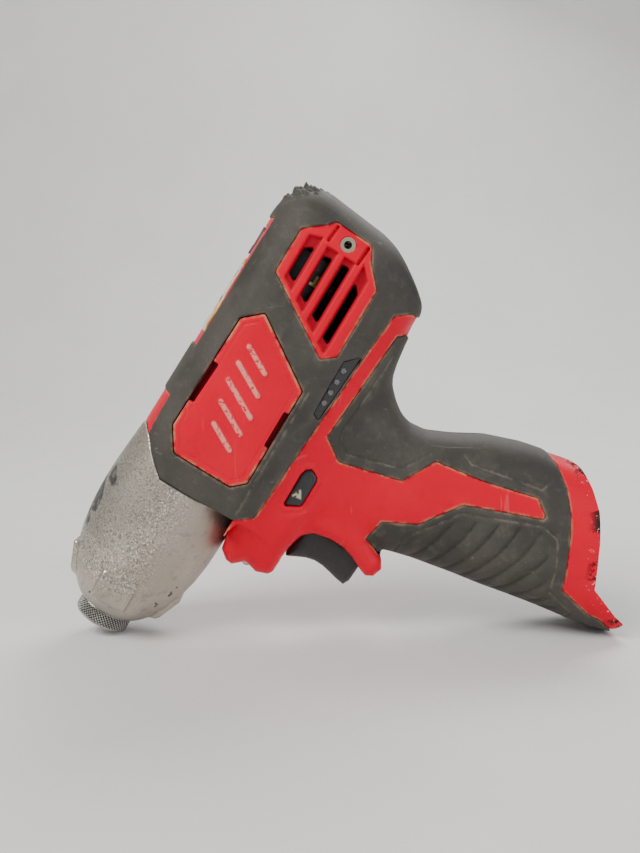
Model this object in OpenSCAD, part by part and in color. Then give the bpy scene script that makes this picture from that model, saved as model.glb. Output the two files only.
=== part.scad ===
// Compact hex-drive impact driver, resting on its collet and the toe of its handle.
// Tool frame: x runs from the collet tip to the rear, y across, z up away from the handle.
// place() turns the tool frame into the resting pose with the table at z = 0.

/* [Body] */
// overall length of the motor housing and nose, tip to rear
tool_length = 164; // [162:1:168]
// half width of the housing at its widest ridge
ridge_half = 26.6; // [25:0.1:28]
// height of the flat top above the output axis
top_height = 21.6; // [21:0.1:23]
// thickness of the rubber overmold
rubber_t = 0.6; // [0.5:0.1:0.8]
// wall thickness of the red housing
wall_t = 2.4; // [2:0.1:3]

/* [Handle] */
// half width of the handle at its slimmest
grip_half = 17.6; // [17:0.1:19]
// half width of the handle at its base
base_half = 22.6; // [21:0.1:24]
// depth of the battery well measured up from the base
well_depth = 62; // [50:1:66]

/* [Nose] */
// outer radius of the gearcase
gearcase_r = 22.8; // [22:0.1:23.2]
// radius of the knurled collet sleeve
sleeve_r = 9.5; // [9:0.1:10]
// radius of the round entry to the hex socket
entry_r = 3.75; // [3.7:0.05:4.2]
// distance across the flats of the hex socket
hex_af = 6.5; // [6.4:0.05:6.7]

/* [Drive] */
// outer radius of the motor can
motor_r = 17.6; // [16:0.1:17.8]
// outer radius of the hammer
hammer_r = 17.5; // [16:0.1:18]
// teeth on the sun pinion
sun_teeth = 9; // [9:1:9]
// teeth on each planet gear
planet_teeth = 21; // [21:1:21]
// gear module
gear_m = 0.6; // [0.6:0.05:0.6]

/* [Controls] */
// travel of the trigger
trigger_travel = 5.5; // [4:0.5:6]
// half width of the trigger
trigger_half = 7.6; // [7:0.1:8]
// travel of the direction shuttle either side of centre
shuttle_travel = 2.4; // [2:0.1:2.6]

/* [Hidden] */

// resting pose
pitch = 58.3;
shift_x = -84.018;
shift_z = 4.628;
ring_teeth = sun_teeth + 2 * planet_teeth;
planet_orbit = gear_m * (sun_teeth + planet_teeth) / 2;

RED = [0.80, 0.13, 0.16];
BLACK = [0.13, 0.12, 0.12];
STEEL = [0.55, 0.55, 0.56];
ALU = [0.72, 0.71, 0.69];
COPPER = [0.72, 0.42, 0.22];
BRASS = [0.75, 0.62, 0.3];

module place() {
    translate([shift_x, 0, shift_z]) rotate([0, -pitch, 0]) children();
}

// cylinder along the tool axis from x = a to x = b
module rod(a, b, r, n = 48) {
    translate([a, 0, 0]) rotate([0, 90, 0]) cylinder(h = b - a, r = r, $fn = n);
}

module tube(a, b, ro, ri, n = 48) {
    difference() {
        rod(a, b, ro, n);
        rod(a - 1, b + 1, ri, n);
    }
}

// revolve a profile given as [x, r] points about the tool axis
module turned(pts, n = 64) {
    rotate([0, 90, 0]) rotate([0, 0, 90])
        rotate_extrude($fn = n) polygon([for (p = pts) [p[1], p[0]]]);
}

// prism across the tool from side-view outline points [x, z], between y = a and y = b
module prism(pts, a, b) {
    translate([0, b, 0]) rotate([90, 0, 0]) linear_extrude(height = b - a) polygon(pts);
}

// ---------- outer form ----------
function ease(a, b, x) = let(t = min(1, max(0, (x - a) / (b - a)))) t * t * (3 - 2 * t);
function smax(a, b, k) = max(a, b) + pow(max(k - abs(a - b), 0) / k, 2) * k / 4;
function mix(a, b, t) = a + (b - a) * t;

// height of the top face and half width of the ridge at a station along the body
function top_at(s) = top_height - 0.022 * (s - 60);
function ridge_at(s) = ridge_half - 3.2 * (1 - ease(54, 78, s));

// how fast the top and the rear face curve away from the middle plane
top_arch = 0.012;
rear_arch = 0.01;

// signed distance-like field of the body section at station s
function body_f(s, y, z) =
    let(
        ky = ridge_half / ridge_at(s),
        ay = abs(y) * ky,
        round_top = norm([ay, max(z, 0)]) - (ridge_half - 1.3 + 0.06 * max(-z, 0)),
        upper = smax(z + top_arch * y * y - top_at(s), round_top, 4),
        low_face = 0.872 * ay - 0.487 * z - (0.872 * ridge_half + 10.2),
        side = smax(upper, low_face, 1.6),
        shell = smax(side, -z - 39.6, 8),
        x = s - lean(s, z),
        top_slope = 0.707 * (x - 160.5 + z - 15.9) + 0.005 * y * y,
        low_slope = 0.824 * (x - 161.3) - 0.566 * (z + 19.5)
    )
    smax(smax(smax(shell, s - tool_length + rear_arch * y * y, 12), top_slope, 6), low_slope, 3);

// distance from the section centre to the surface, by repeated halving
function reach(s, cy, cz, c, d, off, lo = 0, hi = 60, n = 14) =
    n == 0 ? (lo + hi) / 2
    : let(m = (lo + hi) / 2)
      body_f(s, cy + m * c, cz + m * d) < -off ? reach(s, cy, cz, c, d, off, m, hi, n - 1)
      : reach(s, cy, cz, c, d, off, lo, m, n - 1);

// the rear face leans forward below the axis
function lean(s, z) = 0.11 * max(5 - z, 0) * pow(max(0, (s - 100) / 64), 2);

function body_ring(s, off, n) =
    let(cz = mix(-9, -6, ease(150, 164, s)))
    [for (i = [0 : n - 1])
        let(a = 360 * i / n, r = reach(s, 0, cz, cos(a), sin(a), off), z = cz + r * sin(a))
        [s - lean(s, z), r * cos(a), z]];

// handle profile: front edge, rear edge and half width at height z, from [z, value] rows
front_rows = [[-25, 60], [-41, 50], [-42.5, 56], [-44.5, 60.5], [-47, 64], [-51, 66.3],
    [-58, 67], [-65, 69.5], [-72, 72], [-80, 74], [-94, 76.6], [-104, 78.2], [-114, 80.2],
    [-124, 82], [-134, 83.4], [-144, 85.2], [-151, 87.6]];
rear_rows = [[-25, 137], [-38, 136.5], [-39.6, 133], [-41.5, 125.5], [-44, 121], [-48, 117],
    [-52, 114.2], [-56, 113], [-62, 113.6], [-70, 117.2], [-80, 122.8], [-92, 127],
    [-104, 129.6], [-111, 131], [-151, 131]];
half_rows = [[-25, 19.8], [-36, 19.3], [-44, 18.4], [-56, grip_half], [-80, grip_half],
    [-98, grip_half + 1.2], [-112, base_half - 1.6], [-124, base_half - 0.3], [-151, base_half]];
function row(t, z, i = 1) =
    z >= t[0][0] ? t[0][1]
    : i == len(t) ? t[i - 1][1]
    : z >= t[i][0] ? mix(t[i - 1][1], t[i][1], (z - t[i - 1][0]) / (t[i][0] - t[i - 1][0]))
    : row(t, z, i + 1);

grip_power = 2.7;
function sgnpow(v, p) = sign(v) * pow(abs(v), p);
function grip_ring(z, off, n) =
    let(
        f = row(front_rows, z) + off, b = row(rear_rows, z) - off, w = row(half_rows, z) - off,
        xc = (f + b) / 2, a = (b - f) / 2
    )
    [for (i = [0 : n - 1])
        let(t = 360 * i / n)
        [xc + a * sgnpow(cos(t), 2 / grip_power), w * sgnpow(sin(t), 2 / grip_power), z]];

// solid skinned over a stack of equal rings
module skin(rings) {
    n = len(rings[0]);
    m = len(rings);
    polyhedron(
        points = [for (r = rings) each r],
        faces = concat(
            [[for (i = [0 : n - 1]) i]],
            [[for (i = [n - 1 : -1 : 0]) (m - 1) * n + i]],
            [for (j = [0 : m - 2]) for (i = [0 : n - 1])
                let(k = (i + 1) % n) [j * n + i, (j + 1) * n + i, (j + 1) * n + k, j * n + k]]),
        convexity = 8);
}

body_stations = [57, 62, 70, 78, 100, 130, 146, 152, 156, 159, 161.5, 163, 163.8];
module body_form(off, n = 32) {
    skin([for (s = body_stations) if (s < tool_length - off - 0.1) body_ring(s, off, n)]);
}

grip_levels = [-151, -144, -134, -124, -114, -104, -94, -80, -70, -62, -56, -51, -47, -44,
    -41.5, -39.6, -38, -25];
module grip_form(off, n = 28) {
    skin([for (z = grip_levels) grip_ring(z, off, n)]);
}

// chin of the housing under the gearcase, ahead of the handle
module chin_form(off) {
    hull() {
        for (y = [-1, 1]) {
            translate([46.5, y * (10.5 - off), -27]) sphere(r = 4.2 - off, $fn = 16);
            translate([48.5, y * (9.5 - off), -36.6]) sphere(r = 4.4 - off, $fn = 16);
            translate([66, y * (15 - off), -36.6]) sphere(r = 4.4 - off, $fn = 16);
            translate([50, y * (12.6 - off), -23]) sphere(r = 3.4 - off, $fn = 16);
            translate([66, y * (17.5 - off), -18]) sphere(r = 4 - off, $fn = 16);
        }
    }
}

// arched lip of the handle on both sides of the trigger, [x, z] along its middle
lip_line = [[60.6, -38.6], [65.6, -41.6], [69, -46.6], [70.4, -53], [69.8, -59.4], [67.4, -66.6]];
module lip_form(off) {
    for (y = [-1, 1]) for (i = [1 : len(lip_line) - 1]) hull()
        for (q = [lip_line[i - 1], lip_line[i]])
            translate([q[0], y * (12.2 - off), q[1]]) sphere(r = 3.7 - off, $fn = 14);
}

// side-view outlines, [x, z]
front_edge = [[68.6, 30], [68.6, 18.8], [66.7, 15.8], [62.9, 12.2], [57.2, 5.7], [57.2, -5.5],
    [57.9, -19.2], [57.9, -21.2]];
base_cut = [[131.6, -105], [129.85, -112], [126, -116.6], [120.5, -121.6], [113, -126],
    [98.2, -133.4], [93.8, -145], [92.6, -151]];
logo_window = [[66.7, -15], [66.7, 6], [74.4, 11], [114.5, 9.7], [120, 3.5], [105, -19.2],
    [70.8, -19.2]];
vent_window = [[116.2, -18.5], [132.5, 7.6], [148, 7.4], [153, 1.1], [155.6, -1],
    [154.8, -14.3], [149.7, -17], [143.4, -22.8], [119.6, -22.8]];
stripe_top = [[57.9, -21.2], [61.6, -26.8], [123.5, -30.2], [139.9, -31.6], [143.5, -36.3],
    [144.5, -42]];
leg = [[137, -38.6], [134.8, -36.1], [96.2, -33.4], [91, -40.8], [96.1, -61.6],
    [107.2, -68.1], [109.6, -84.3], [114.2, -102.3], [110.2, -107.4], [109, -106.9],
    [99.6, -82.9], [86.5, -73.9], [81, -63.3], [73.4, -62.1], [70.2, -69.6], [66.6, -70.2]];
band_top = [[129.5, -98.4], [126.3, -103.6], [121.7, -108.6], [115.7, -113.2],
    [109.2, -117], [100.2, -121.2], [92.6, -124.6], [89.8, -136.8], [90.1, -142], [88, -151]];
slots = [
    [[134.2, 3.6], [143.2, 3.6], [145, 0.8], [132.6, 0.8]],
    [[130.4, -3], [144.2, -3], [144.8, -5.7], [128.8, -5.7]],
    [[126.8, -9.3], [145, -9.3], [145, -11.8], [125.4, -11.8]],
    [[122.6, -15.7], [142.2, -15.7], [139.4, -18.1], [121.2, -18.1]]];
insert_at = [151, -7.7];

// region of the side view covered by the body rubber and by the grip rubber
module body_rubber_area(y0, y1) {
    difference() {
        prism(concat([[56.4, 40], [56.4, -21.2]], stripe_top, [[175, -42], [175, 40]]), y0, y1);
        prism(logo_window, y0 - 1, y1 + 1);
        prism(vent_window, y0 - 1, y1 + 1);
    }
}
module grip_rubber_area(y0, y1) {
    prism(concat(leg, [[60, -70.2], [60, -156], [88, -156]],
        [for (i = [len(band_top) - 1 : -1 : 0]) band_top[i]],
        [[150, -98.4], [150, -60], [137, -44]]), y0, y1);
}
// the rubber leaves the red spine bare at the front and along the label
spine_spans = [[66, 81.5, 17], [99, 147, 14.5]];
module spine_windows() {
    for (w = spine_spans)
        translate([w[0], -w[2], 12]) cube([w[1] - w[0], 2 * w[2], 14]);
}

// the closed form at depth off below the rubber surface, before its ends are trimmed
module forms(off) {
    body_form(off);
    chin_form(max(off - 0.2, 0));
    lip_form(off);
    grip_form(off);
}
// what trims the front edge above the chin, the base and the toe
module end_trims() {
    prism(concat([[40, 40]], front_edge, [[40, -21.2]]), -40, 40);
    prism(concat(base_cut, [[60, -153], [60, -175], [150, -175], [150, -105]]), -40, 40);
    prism([[80, -156], [98, -156], [98, -150.2], [80, -150.2]], -40, 40);
}
module outer(off) {
    difference() {
        forms(off);
        end_trims();
    }
}

// screws that hold the halves together, [x, z, seat of the head]
screws = [[60, -31, 12.5], [127, -28.5, 19], [107, -54, 13], [121.4, -92, 13.5],
    [81.4, -99, 13], [156, 7, 14]];

well_half = base_half - 7.2;
module well_form() {
    // oval stem socket that opens through the base
    hull()
        for (q = [[97, -140, 0], [118, -134, 0], [95.5, -76, 1.2], [108.5, -76, 1.2]])
            for (y = [-1, 1])
                translate([q[0], y * (well_half - 7 - q[2]), q[1]])
                    cylinder(h = 1, r = 7, $fn = 20);
}
module hollows() {
    // gearcase seat, motor bay and the space around the brushes
    rod(50, 70.2, 18.85, 40);
    rod(70.1, 122, 18.15, 40);
    rod(121.9, 143.9, 20.2, 40);
    rod(143.8, 151.6, 12.4, 32);
    // gearcase shell ahead of the housing
    rod(30, 58.3, gearcase_r + 0.25, 40);
    // bay between the motor and the switch
    translate([72, -13, -29.6]) cube([50, 26, 16]);
    // switch bay
    translate([67.4, -11.6, -70.4]) cube([28.6, 23.2, 42]);
    // wire way and terminal pocket
    translate([92, -9, -66]) cube([9.5, 18, 38]);
    translate([86.5, -12.6, -76.5]) cube([21, 25.2, 11]);
    well_form();
    // trigger mouth
    translate([44, -trigger_half - 0.5, -66.9]) cube([28, 2 * trigger_half + 1, 24.4]);
    // work light socket
    translate([0, 0, -33]) rod(38, 47.5, 2.7, 16);
}
module pill(grow, y0, y1) {
    // rounded bar outline of the direction shuttle, along y
    translate([77.3, 0, -35.2]) {
        for (x = [-4.4, 4.4])
            translate([x, y1, 0]) rotate([90, 0, 0])
                cylinder(h = y1 - y0, r = 2.75 + grow, $fn = 24);
        translate([-4.4, y0, -2.75 - grow]) cube([8.8, y1 - y0, 5.5 + 2 * grow]);
    }
}
module half_cut(left) {
    translate([0, left ? -60 : 0, -180]) cube([200, 60, 240]);
}

// ---------- housing, rubber and trim ----------
module housing(left) {
    s = left ? -1 : 1;
    color(RED) place() resize([0, 0, 0]) difference() {
        intersection() {
            outer(rubber_t);
            half_cut(left);
        }
        hollows();
        // air slots over the brushes
        for (q = slots) prism(q, left ? -40 : 5, left ? -5 : 40);
        // pocket for the side panel
        prism(logo_window, left ? -40 : 20, left ? -20 : 40);
        pill(0.3, -40, 40);
        for (q = screws) translate([q[0], 0, q[1]]) rotate([90, 0, 0]) {
            if (left) translate([0, 0, -1]) cylinder(h = 9, r = 1.56, $fn = 12);
            if (!left) translate([0, 0, -40]) cylinder(h = 41, r = 1.56, $fn = 12);
            if (!left) translate([0, 0, -40]) cylinder(h = 40 - q[2], r = 3.1, $fn = 16);
        }
        // socket of the side insert
        translate([insert_at[0], s * 28, insert_at[1]]) rotate([90, 0, 0])
            cylinder(h = 24, r = 2.5, center = true, $fn = 24);
        if (left) gauge_area(-40, -5, 0.02);
    }
}

gauge_out = [[100.6, -25.6], [119.4, -25.2], [123.6, -29.6], [99.2, -28.1]];
gauge_dots = [105.2, 109, 112.9, 117];
module gauge_area(y0, y1, g) {
    // light pipes of the charge gauge pass square to the lower face
    for (x = gauge_dots) translate([x, -24.1, -26.9]) rotate([90 + 29.2, 0, 0])
        cylinder(h = 26, r = 0.85 + g, center = true, $fn = 16);
}

module body_overmold(left) {
    color(BLACK) place() resize([0, 0, 0]) difference() {
        intersection() {
            forms(0);
            half_cut(left);
            body_rubber_area(-40, 40);
        }
        forms(rubber_t);
        end_trims();
        spine_windows();
        if (left) prism(gauge_out, -40, 0);
        for (q = screws) translate([q[0], 0, q[1]]) rotate([90, 0, 0])
            if (!left) translate([0, 0, -40]) cylinder(h = 30, r = 3.1, $fn = 16);
    }
}
module grip_overmold(left) {
    color(BLACK) place() resize([0, 0, 0]) difference() {
        intersection() {
            forms(0);
            half_cut(left);
            grip_rubber_area(-40, 40);
        }
        forms(rubber_t);
        end_trims();
        for (q = screws) translate([q[0], 0, q[1]]) rotate([90, 0, 0])
            if (!left) translate([0, 0, -40]) cylinder(h = 30, r = 3.1, $fn = 16);
        // the trigger and its guard stay clear of rubber
        translate([44, -trigger_half - 1.5, -69]) cube([27, 2 * trigger_half + 3, 30]);
    }
}
module side_panel(left) {
    color(RED) place() resize([0, 0, 0]) intersection() {
        outer(rubber_t + 0.3);
        prism([for (q = logo_window) [93 + (q[0] - 93) * 0.992, -4 + (q[1] + 4) * 0.985]],
            left ? -40 : 20, left ? -20 : 40);
    }
}
module left_housing() { housing(true); }
module right_housing() { housing(false); }
module left_body_overmold() { body_overmold(true); }
module right_body_overmold() { body_overmold(false); }
module left_grip_overmold() { grip_overmold(true); }
module right_grip_overmold() { grip_overmold(false); }
module left_side_panel() { side_panel(true); }
module right_side_panel() { side_panel(false); }

module top_label() {
    // thin sheet lying on the bare spine
    color([0.85, 0.68, 0.3]) place() resize([0, 0, 0]) difference() {
        intersection() {
            outer(rubber_t - 0.22);
            translate([103, -13.6, 14]) cube([29, 27.2, 12]);
        }
        outer(rubber_t);
    }
}
module gauge_panel() {
    color(BLACK) place() resize([0, 0, 0]) difference() {
        intersection() {
            outer(0.15);
            prism([for (q = gauge_out) [111 + (q[0] - 111) * 0.98, -27 + (q[1] + 27) * 0.9]],
                -40, 0);
        }
        outer(rubber_t);
        gauge_area(-40, -5, 0.02);
    }
}
module gauge_leds() {
    // four light pipes from the board to the panel
    color([0.85, 0.85, 0.8]) place() for (x = gauge_dots)
        translate([x, -24.1, -26.9]) rotate([90 + 29.2, 0, 0]) {
            translate([0, 0, -9.5]) cylinder(h = 9.3, r = 0.85, $fn = 16);
        }
}
module gauge_board() {
    color([0.1, 0.35, 0.2]) place() translate([98, -13, -29.4]) cube([25 - 1.2, 1.4, 11]);
}
module side_inserts() {
    // threaded brass sleeves for a belt hook, one on each side
    color(STEEL) place() for (s = [-1, 1])
        translate([insert_at[0], s * 20.2, insert_at[1]]) rotate([90, 0, 0]) difference() {
            cylinder(h = 8, r = 2.4, center = true, $fn = 40);
            cylinder(h = 10, r = 1.25, center = true, $fn = 32);
        }
}
module housing_screws() {
    color(STEEL) place() for (q = screws)
        translate([q[0], q[2], q[1]]) rotate([90, 0, 0]) {
            translate([0, 0, -0.1]) cylinder(h = q[2] + 7, r = 1.45, $fn = 24);
            difference() {
                translate([0, 0, -2.04]) cylinder(h = 2, r = 2.9, $fn = 32);
                translate([0, 0, -2.14]) cylinder(h = 1.3, r = 1.3, $fn = 6);
            }
        }
}
module work_light() {
    color([0.9, 0.92, 0.95]) place() translate([0, 0, -33]) {
        rod(43.2, 47.4, 2.6, 32);
        translate([43.6, 0, 0]) sphere(r = 1.9, $fn = 32);
    }
}

// ---------- nose and anvil ----------
module gearcase() {
    color(ALU) place() difference() {
        union() {
            difference() {
                turned([[6, 7], [6, 10.7], [6.6, 11.7], [8, 13.1], [10, 14.8], [13, 16.6],
                    [17, 18.5], [22, 20.2], [28, 21.6], [35, 22.5], [42, gearcase_r],
                    [69, gearcase_r], [69, 7]], 72);
                prism([[46, 23.2], [70, 20.3], [70, 40], [46, 40]], -30, 30);
                prism(concat([for (q = front_edge) [q[0] - 0.15, q[1]]],
                    [[57.75, -40], [80, -40], [80, 30]]), -30, 30);
            }
            rod(50, 70, 18.7, 64);
            // raised pads around the nose
            for (a = [0 : 90 : 270]) rotate([a, 0, 0])
                prism([[10.4, 12], [10.9, 16.4], [12, 17.4], [20.8, 20.9], [21.4, 19], [21.4, 12]],
                    -6.2, 6.2);
        }
        rod(5, 12.6, 9.9, 64);
        rod(12, 26, 8, 64);
        rod(25.7, 72, 17.2, 72);
        // groove of the seal
        tube(68.75, 69.65, 20, 18, 64);
    }
}
module gearcase_seal() {
    color(BLACK) place() turned([[68.8, 18.04], [69.6, 18.04], [69.6, 18.74], [68.8, 18.74]], 64);
}
module nose_bushing() {
    color(BRASS) place() tube(12.8, 25.4, 7.98, 6.11, 64);
}
module anvil() {
    color(STEEL) place() difference() {
        union() {
            rod(0.4, 26.2, 6.05, 64);
            rod(26, 28.2, 11.2, 64);
            for (a = [0, 180]) rotate([a, 0, 0]) intersection() {
                translate([28, -4.2, 0]) cube([5, 8.4, 16]);
                rod(27, 34, 15.6, 64);
            }
            rod(28, 33, 6.6, 48);
        }
        // round entry, hexagon and pilot hole
        rod(0, 3, entry_r, 48);
        translate([2.9, 0, 0]) rotate([0, 90, 0])
            cylinder(h = 16, r = hex_af / 2 / cos(30), $fn = 6);
        rod(23.5, 34, 3.08, 48);
        // grooves for the retaining ring and the seal
        tube(0.8, 1.5, 7, 5.5, 64);
        tube(17.8, 19.6, 7, 5.3, 64);
        // ball holes
        for (a = [90, 270]) rotate([a, 0, 0]) translate([7.5, 0, 3])
            cylinder(h = 5, r = 1.38, $fn = 32);
    }
}
module anvil_oring() {
    color(BLACK) place() tube(17.9, 19.5, 6.05, 5.35, 48);
}
module retaining_ring() {
    color(STEEL) place() difference() {
        tube(0.85, 1.45, 7.4, 5.55, 48);
        translate([0, -1, 4]) cube([3, 2, 6]);
    }
}
module collet_washer() {
    color(STEEL) place() tube(1.5, 2, 7.7, 6.15, 48);
}
function coil_pt(x0, x1, r, turns, t) =
    [mix(x0, x1, t), r * cos(360 * turns * t), r * sin(360 * turns * t)];
// round-wire coil about the tool axis, as one swept solid
module coil(x0, x1, r, w, turns, per = 16, sides = 8) {
    n = ceil(turns * per);
    lead = (x1 - x0) / turns;
    skin([for (i = [0 : n])
        let(t = i / n, a = 360 * turns * t, k = atan2(lead, 2 * PI * r))
        [for (j = [0 : sides - 1])
            let(b = -360 * j / sides, ur = cos(b) * w, ux = sin(b) * w)
            [mix(x0, x1, t) + ux * cos(k),
             (r + ur) * cos(a) + ux * sin(k) * sin(a),
             (r + ur) * sin(a) - ux * sin(k) * cos(a)]]]);
}
module collet_spring() {
    color(STEEL) place() coil(2.3, 5.7, 7.0, 0.28, 3);
}
module bit_balls() {
    color(STEEL) place() for (s = [-1, 1])
        translate([7.5, s * 4.75, 0]) sphere(r = 1.3, $fn = 32);
}
module collet_sleeve() {
    color(STEEL) place() difference() {
        union() {
            turned([[0, 6.5], [0, 8.7], [0.9, sleeve_r], [5.2, sleeve_r], [5.8, 9.1],
                [9.4, 9.1], [9.4, 6.5]], 72);
            rod(6, 8.8, 8, 48);
        }
        rod(-1, 6, 7.9, 64);
        rod(5.9, 8.81, 6.13, 64);
        rod(8.8, 12, 7.6, 64);
    }
}

// ---------- impact mechanism ----------
module hammer() {
    color(STEEL) place() difference() {
        union() {
            rod(34.5, 48, 16.8, 72);
            for (a = [90, 270]) rotate([a, 0, 0]) intersection() {
                translate([29, -4.2, 7.4]) cube([6, 8.4, 10]);
                rod(28.5, 35, 16.4, 64);
            }
        }
        rod(28, 49, 7.08, 64);
        // pocket of the spring, with the race of the thrust balls
        tube(39.4, 49, 14.8, 9.9, 64);
        tube(38, 39.5, 13, 11, 64);
        // grooves for the two cam balls
        for (s = [-1, 1]) translate([34, 0, s * 7]) rod(0, 10, 2.38, 32);
    }
}
module thrust_balls() {
    color(STEEL) place() for (a = [0 : 20 : 340])
        rotate([a, 0, 0]) translate([38.9, 0, 12]) sphere(r = 0.88, $fn = 16);
}
module spring_washer() {
    color(STEEL) place() tube(39.8, 40.6, 14.6, 10, 64);
}
module hammer_spring() {
    color(STEEL) place() coil(41.8, 56.6, 12, 1.1, 4, 20, 10);
}
module cam_balls() {
    color(STEEL) place() for (s = [-1, 1])
        translate([41, 0, s * 7]) sphere(r = 2.3, $fn = 32);
}
module planet_carrier() {
    color(STEEL) place() difference() {
        union() {
            rod(24, 34, 3, 48);
            rod(33.8, 58, 7, 64);
            rod(57.8, 59.8, 14.6, 64);
            rod(66.8, 68.6, 14.6, 64);
            for (a = [60 : 120 : 300]) rotate([a, 0, 0])
                translate([59, -1.5, 8.4]) cube([8.5, 3, 5.2]);
        }
        rod(59.7, 70, 4.2, 48);
        for (a = [0 : 120 : 240]) rotate([a, 0, 0])
            translate([0, 0, planet_orbit]) rod(57, 69, 1.6, 32);
        for (s = [-1, 1]) translate([41, 0, s * 7]) sphere(r = 2.36, $fn = 32);
    }
}
module planet_pins() {
    color(STEEL) place() for (a = [0 : 120 : 240]) rotate([a, 0, 0])
        translate([0, 0, planet_orbit]) rod(57.9, 68.5, 1.58, 32);
}
// toothed disc: straight-flanked teeth about the tool axis
module gear(teeth, a, b, bore, phase = 0, slack = 0.06) {
    rp = gear_m * teeth / 2;
    ra = rp + gear_m * 0.92;
    rr = rp - gear_m * 1.15;
    step = 360 / teeth;
    difference() {
        translate([a, 0, 0]) rotate([0, 90, 0]) linear_extrude(height = b - a)
            polygon([for (i = [0 : teeth - 1]) for (q = [[-0.36, rr], [-0.24, rp],
                [-0.13, ra], [0.13, ra], [0.24, rp], [0.36, rr]])
                let(t = (i + q[0] * (1 - slack)) * step + phase) [q[1] * cos(t), q[1] * sin(t)]]);
        if (bore > 0) rod(a - 1, b + 1, bore, 32);
    }
}
module planet(k) {
    // each planet has a tooth towards the sun, which has a gap there
    color(STEEL) place() rotate([120 * k, 0, 0]) translate([0, 0, planet_orbit])
        gear(planet_teeth, 60.4, 66.2, 1.66);
}
module planet_gear_1() { planet(0); }
module planet_gear_2() { planet(1); }
module planet_gear_3() { planet(2); }
module pinion() {
    color(STEEL) place() gear(sun_teeth, 60.4, 67.6, 1.5);
}
module ring_gear() {
    color(STEEL) place() difference() {
        rod(60, 66.6, 17.18, 72);
        translate([59, 0, 0]) rotate([0, 90, 0]) linear_extrude(height = 9)
            polygon([for (i = [0 : ring_teeth - 1]) for (q = [[-0.37, 1.15], [-0.27, 0],
                [-0.16, -0.9], [0.16, -0.9], [0.27, 0], [0.37, 1.15]])
                let(t = (i + 0.5 + q[0]) * 360 / ring_teeth,
                    r = gear_m * (ring_teeth / 2 + q[1])) [r * cos(t), r * sin(t)]]);
    }
}

// ---------- motor ----------
module gear_plate() {
    color(STEEL) place() difference() {
        rod(70.2, 73.4, 18.1, 64);
        rod(69, 75, 6.5, 48);
        for (a = [45 : 90 : 315]) rotate([a, 0, 0]) translate([0, 0, 14.5])
            rod(69, 75, 1.3, 16);
    }
}
module bearing(a, b, ro, ri) {
    turned([[a, ri], [a, ri + 1.3], [a + 0.4, ri + 1.3], [a + 0.4, ro - 1.3], [a, ro - 1.3],
        [a, ro], [b, ro], [b, ro - 1.3], [b - 0.4, ro - 1.3], [b - 0.4, ri + 1.3],
        [b, ri + 1.3], [b, ri]], 48);
}
module front_bearing() { color(STEEL) place() bearing(70.4, 73.2, 6.5, 2.5); }
module rear_bearing() { color(STEEL) place() bearing(138.2, 141.4, 6.5, 2.5); }
module motor_fan() {
    color(BLACK) place() difference() {
        union() {
            rod(74.4, 75.4, 16.6, 48);
            rod(75.2, 79.6, 4.2, 32);
            for (a = [0 : 36 : 324]) rotate([a, 0, 0])
                translate([75.2, -0.5, 3.6]) rotate([14, 0, 0]) cube([4, 0.9, 12.4]);
        }
        rod(74, 80, 2.5, 32);
    }
}
module motor_can() {
    color(STEEL) place() difference() {
        rod(80.4, 121.4, motor_r, 72);
        rod(81.6, 120.4, motor_r - 1.5, 72);
        rod(80, 122, 14, 64);
    }
}
module magnets() {
    color([0.25, 0.25, 0.27]) place() for (a = [0, 180]) rotate([a, 0, 0]) intersection() {
        tube(84, 118, motor_r - 1.55, 13.5, 72);
        translate([83, -12, 6.2]) cube([36, 24, 14]);
    }
}
module rotor_shaft() {
    color(STEEL) place() {
        rod(60.2, 68.2, 1.5, 32);
        rod(68, 142, 2.5, 32);
    }
}
module rotor_core() {
    color(STEEL) place() difference() {
        rod(86, 116, 12.9, 64);
        rod(85, 117, 2.5, 32);
        for (a = [0 : 60 : 300]) rotate([a, 0, 0]) {
            translate([85, -1, 11]) cube([32, 2, 3]);
            translate([85, -2.6, 6.2]) cube([32, 5.2, 5.2]);
        }
    }
}
module windings() {
    color(COPPER) place() {
        for (a = [0 : 60 : 300]) rotate([a, 0, 0])
            translate([84, -2.5, 6.3]) cube([34, 5, 5]);
        for (x = [82.6, 116.2]) tube(x, x + 3.2, 11.8, 5, 48);
    }
}
module commutator() {
    color(COPPER) place() difference() {
        tube(121.6, 132, 6, 2.5, 48);
        for (a = [0 : 30 : 330]) rotate([a, 0, 0])
            translate([121, -0.2, 5.3]) cube([12, 0.4, 2]);
    }
}
// places of the spring tags around the motor, in degrees below its middle
tag_angles = [14, 34.5];
module brush_holder() {
    // end bell of the motor: a disc with the brush boxes, and a barrel before and behind it
    color(BLACK) place() difference() {
        union() {
            rod(133.4, 136.4, 19.8, 64);
            rod(136, 141.4, 8.6, 48);
            tube(121.9, 133.6, 19, 17.6, 64);
            tube(136.2, 143.4, 19.6, 18, 64);
            for (a = [90, 270]) rotate([a, 0, 0])
                translate([123.4, -3.4, 7.4]) cube([10.4, 6.8, 10.9]);
        }
        rod(130, 138.3, 4.4, 32);
        rod(138.2, 143, 6.5, 48);
        for (a = [90, 270]) rotate([a, 0, 0]) {
            translate([124.4, -2.5, 6]) cube([7, 5, 11.4]);
            // slot of the clip and the window around the brush box
            translate([126.9, -1.1, 16]) cube([6.55, 2.2, 5]);
            translate([121, -4.4, 16.4]) cube([2.4, 8.8, 4]);
        }
        // seats of the spring tags
        for (side = [-1, 1]) for (a = tag_angles) rotate([side * -(90 + a), 0, 0])
            translate([133, -1.9, 19.1]) cube([6, 3.8, 2]);
    }
}
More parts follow.
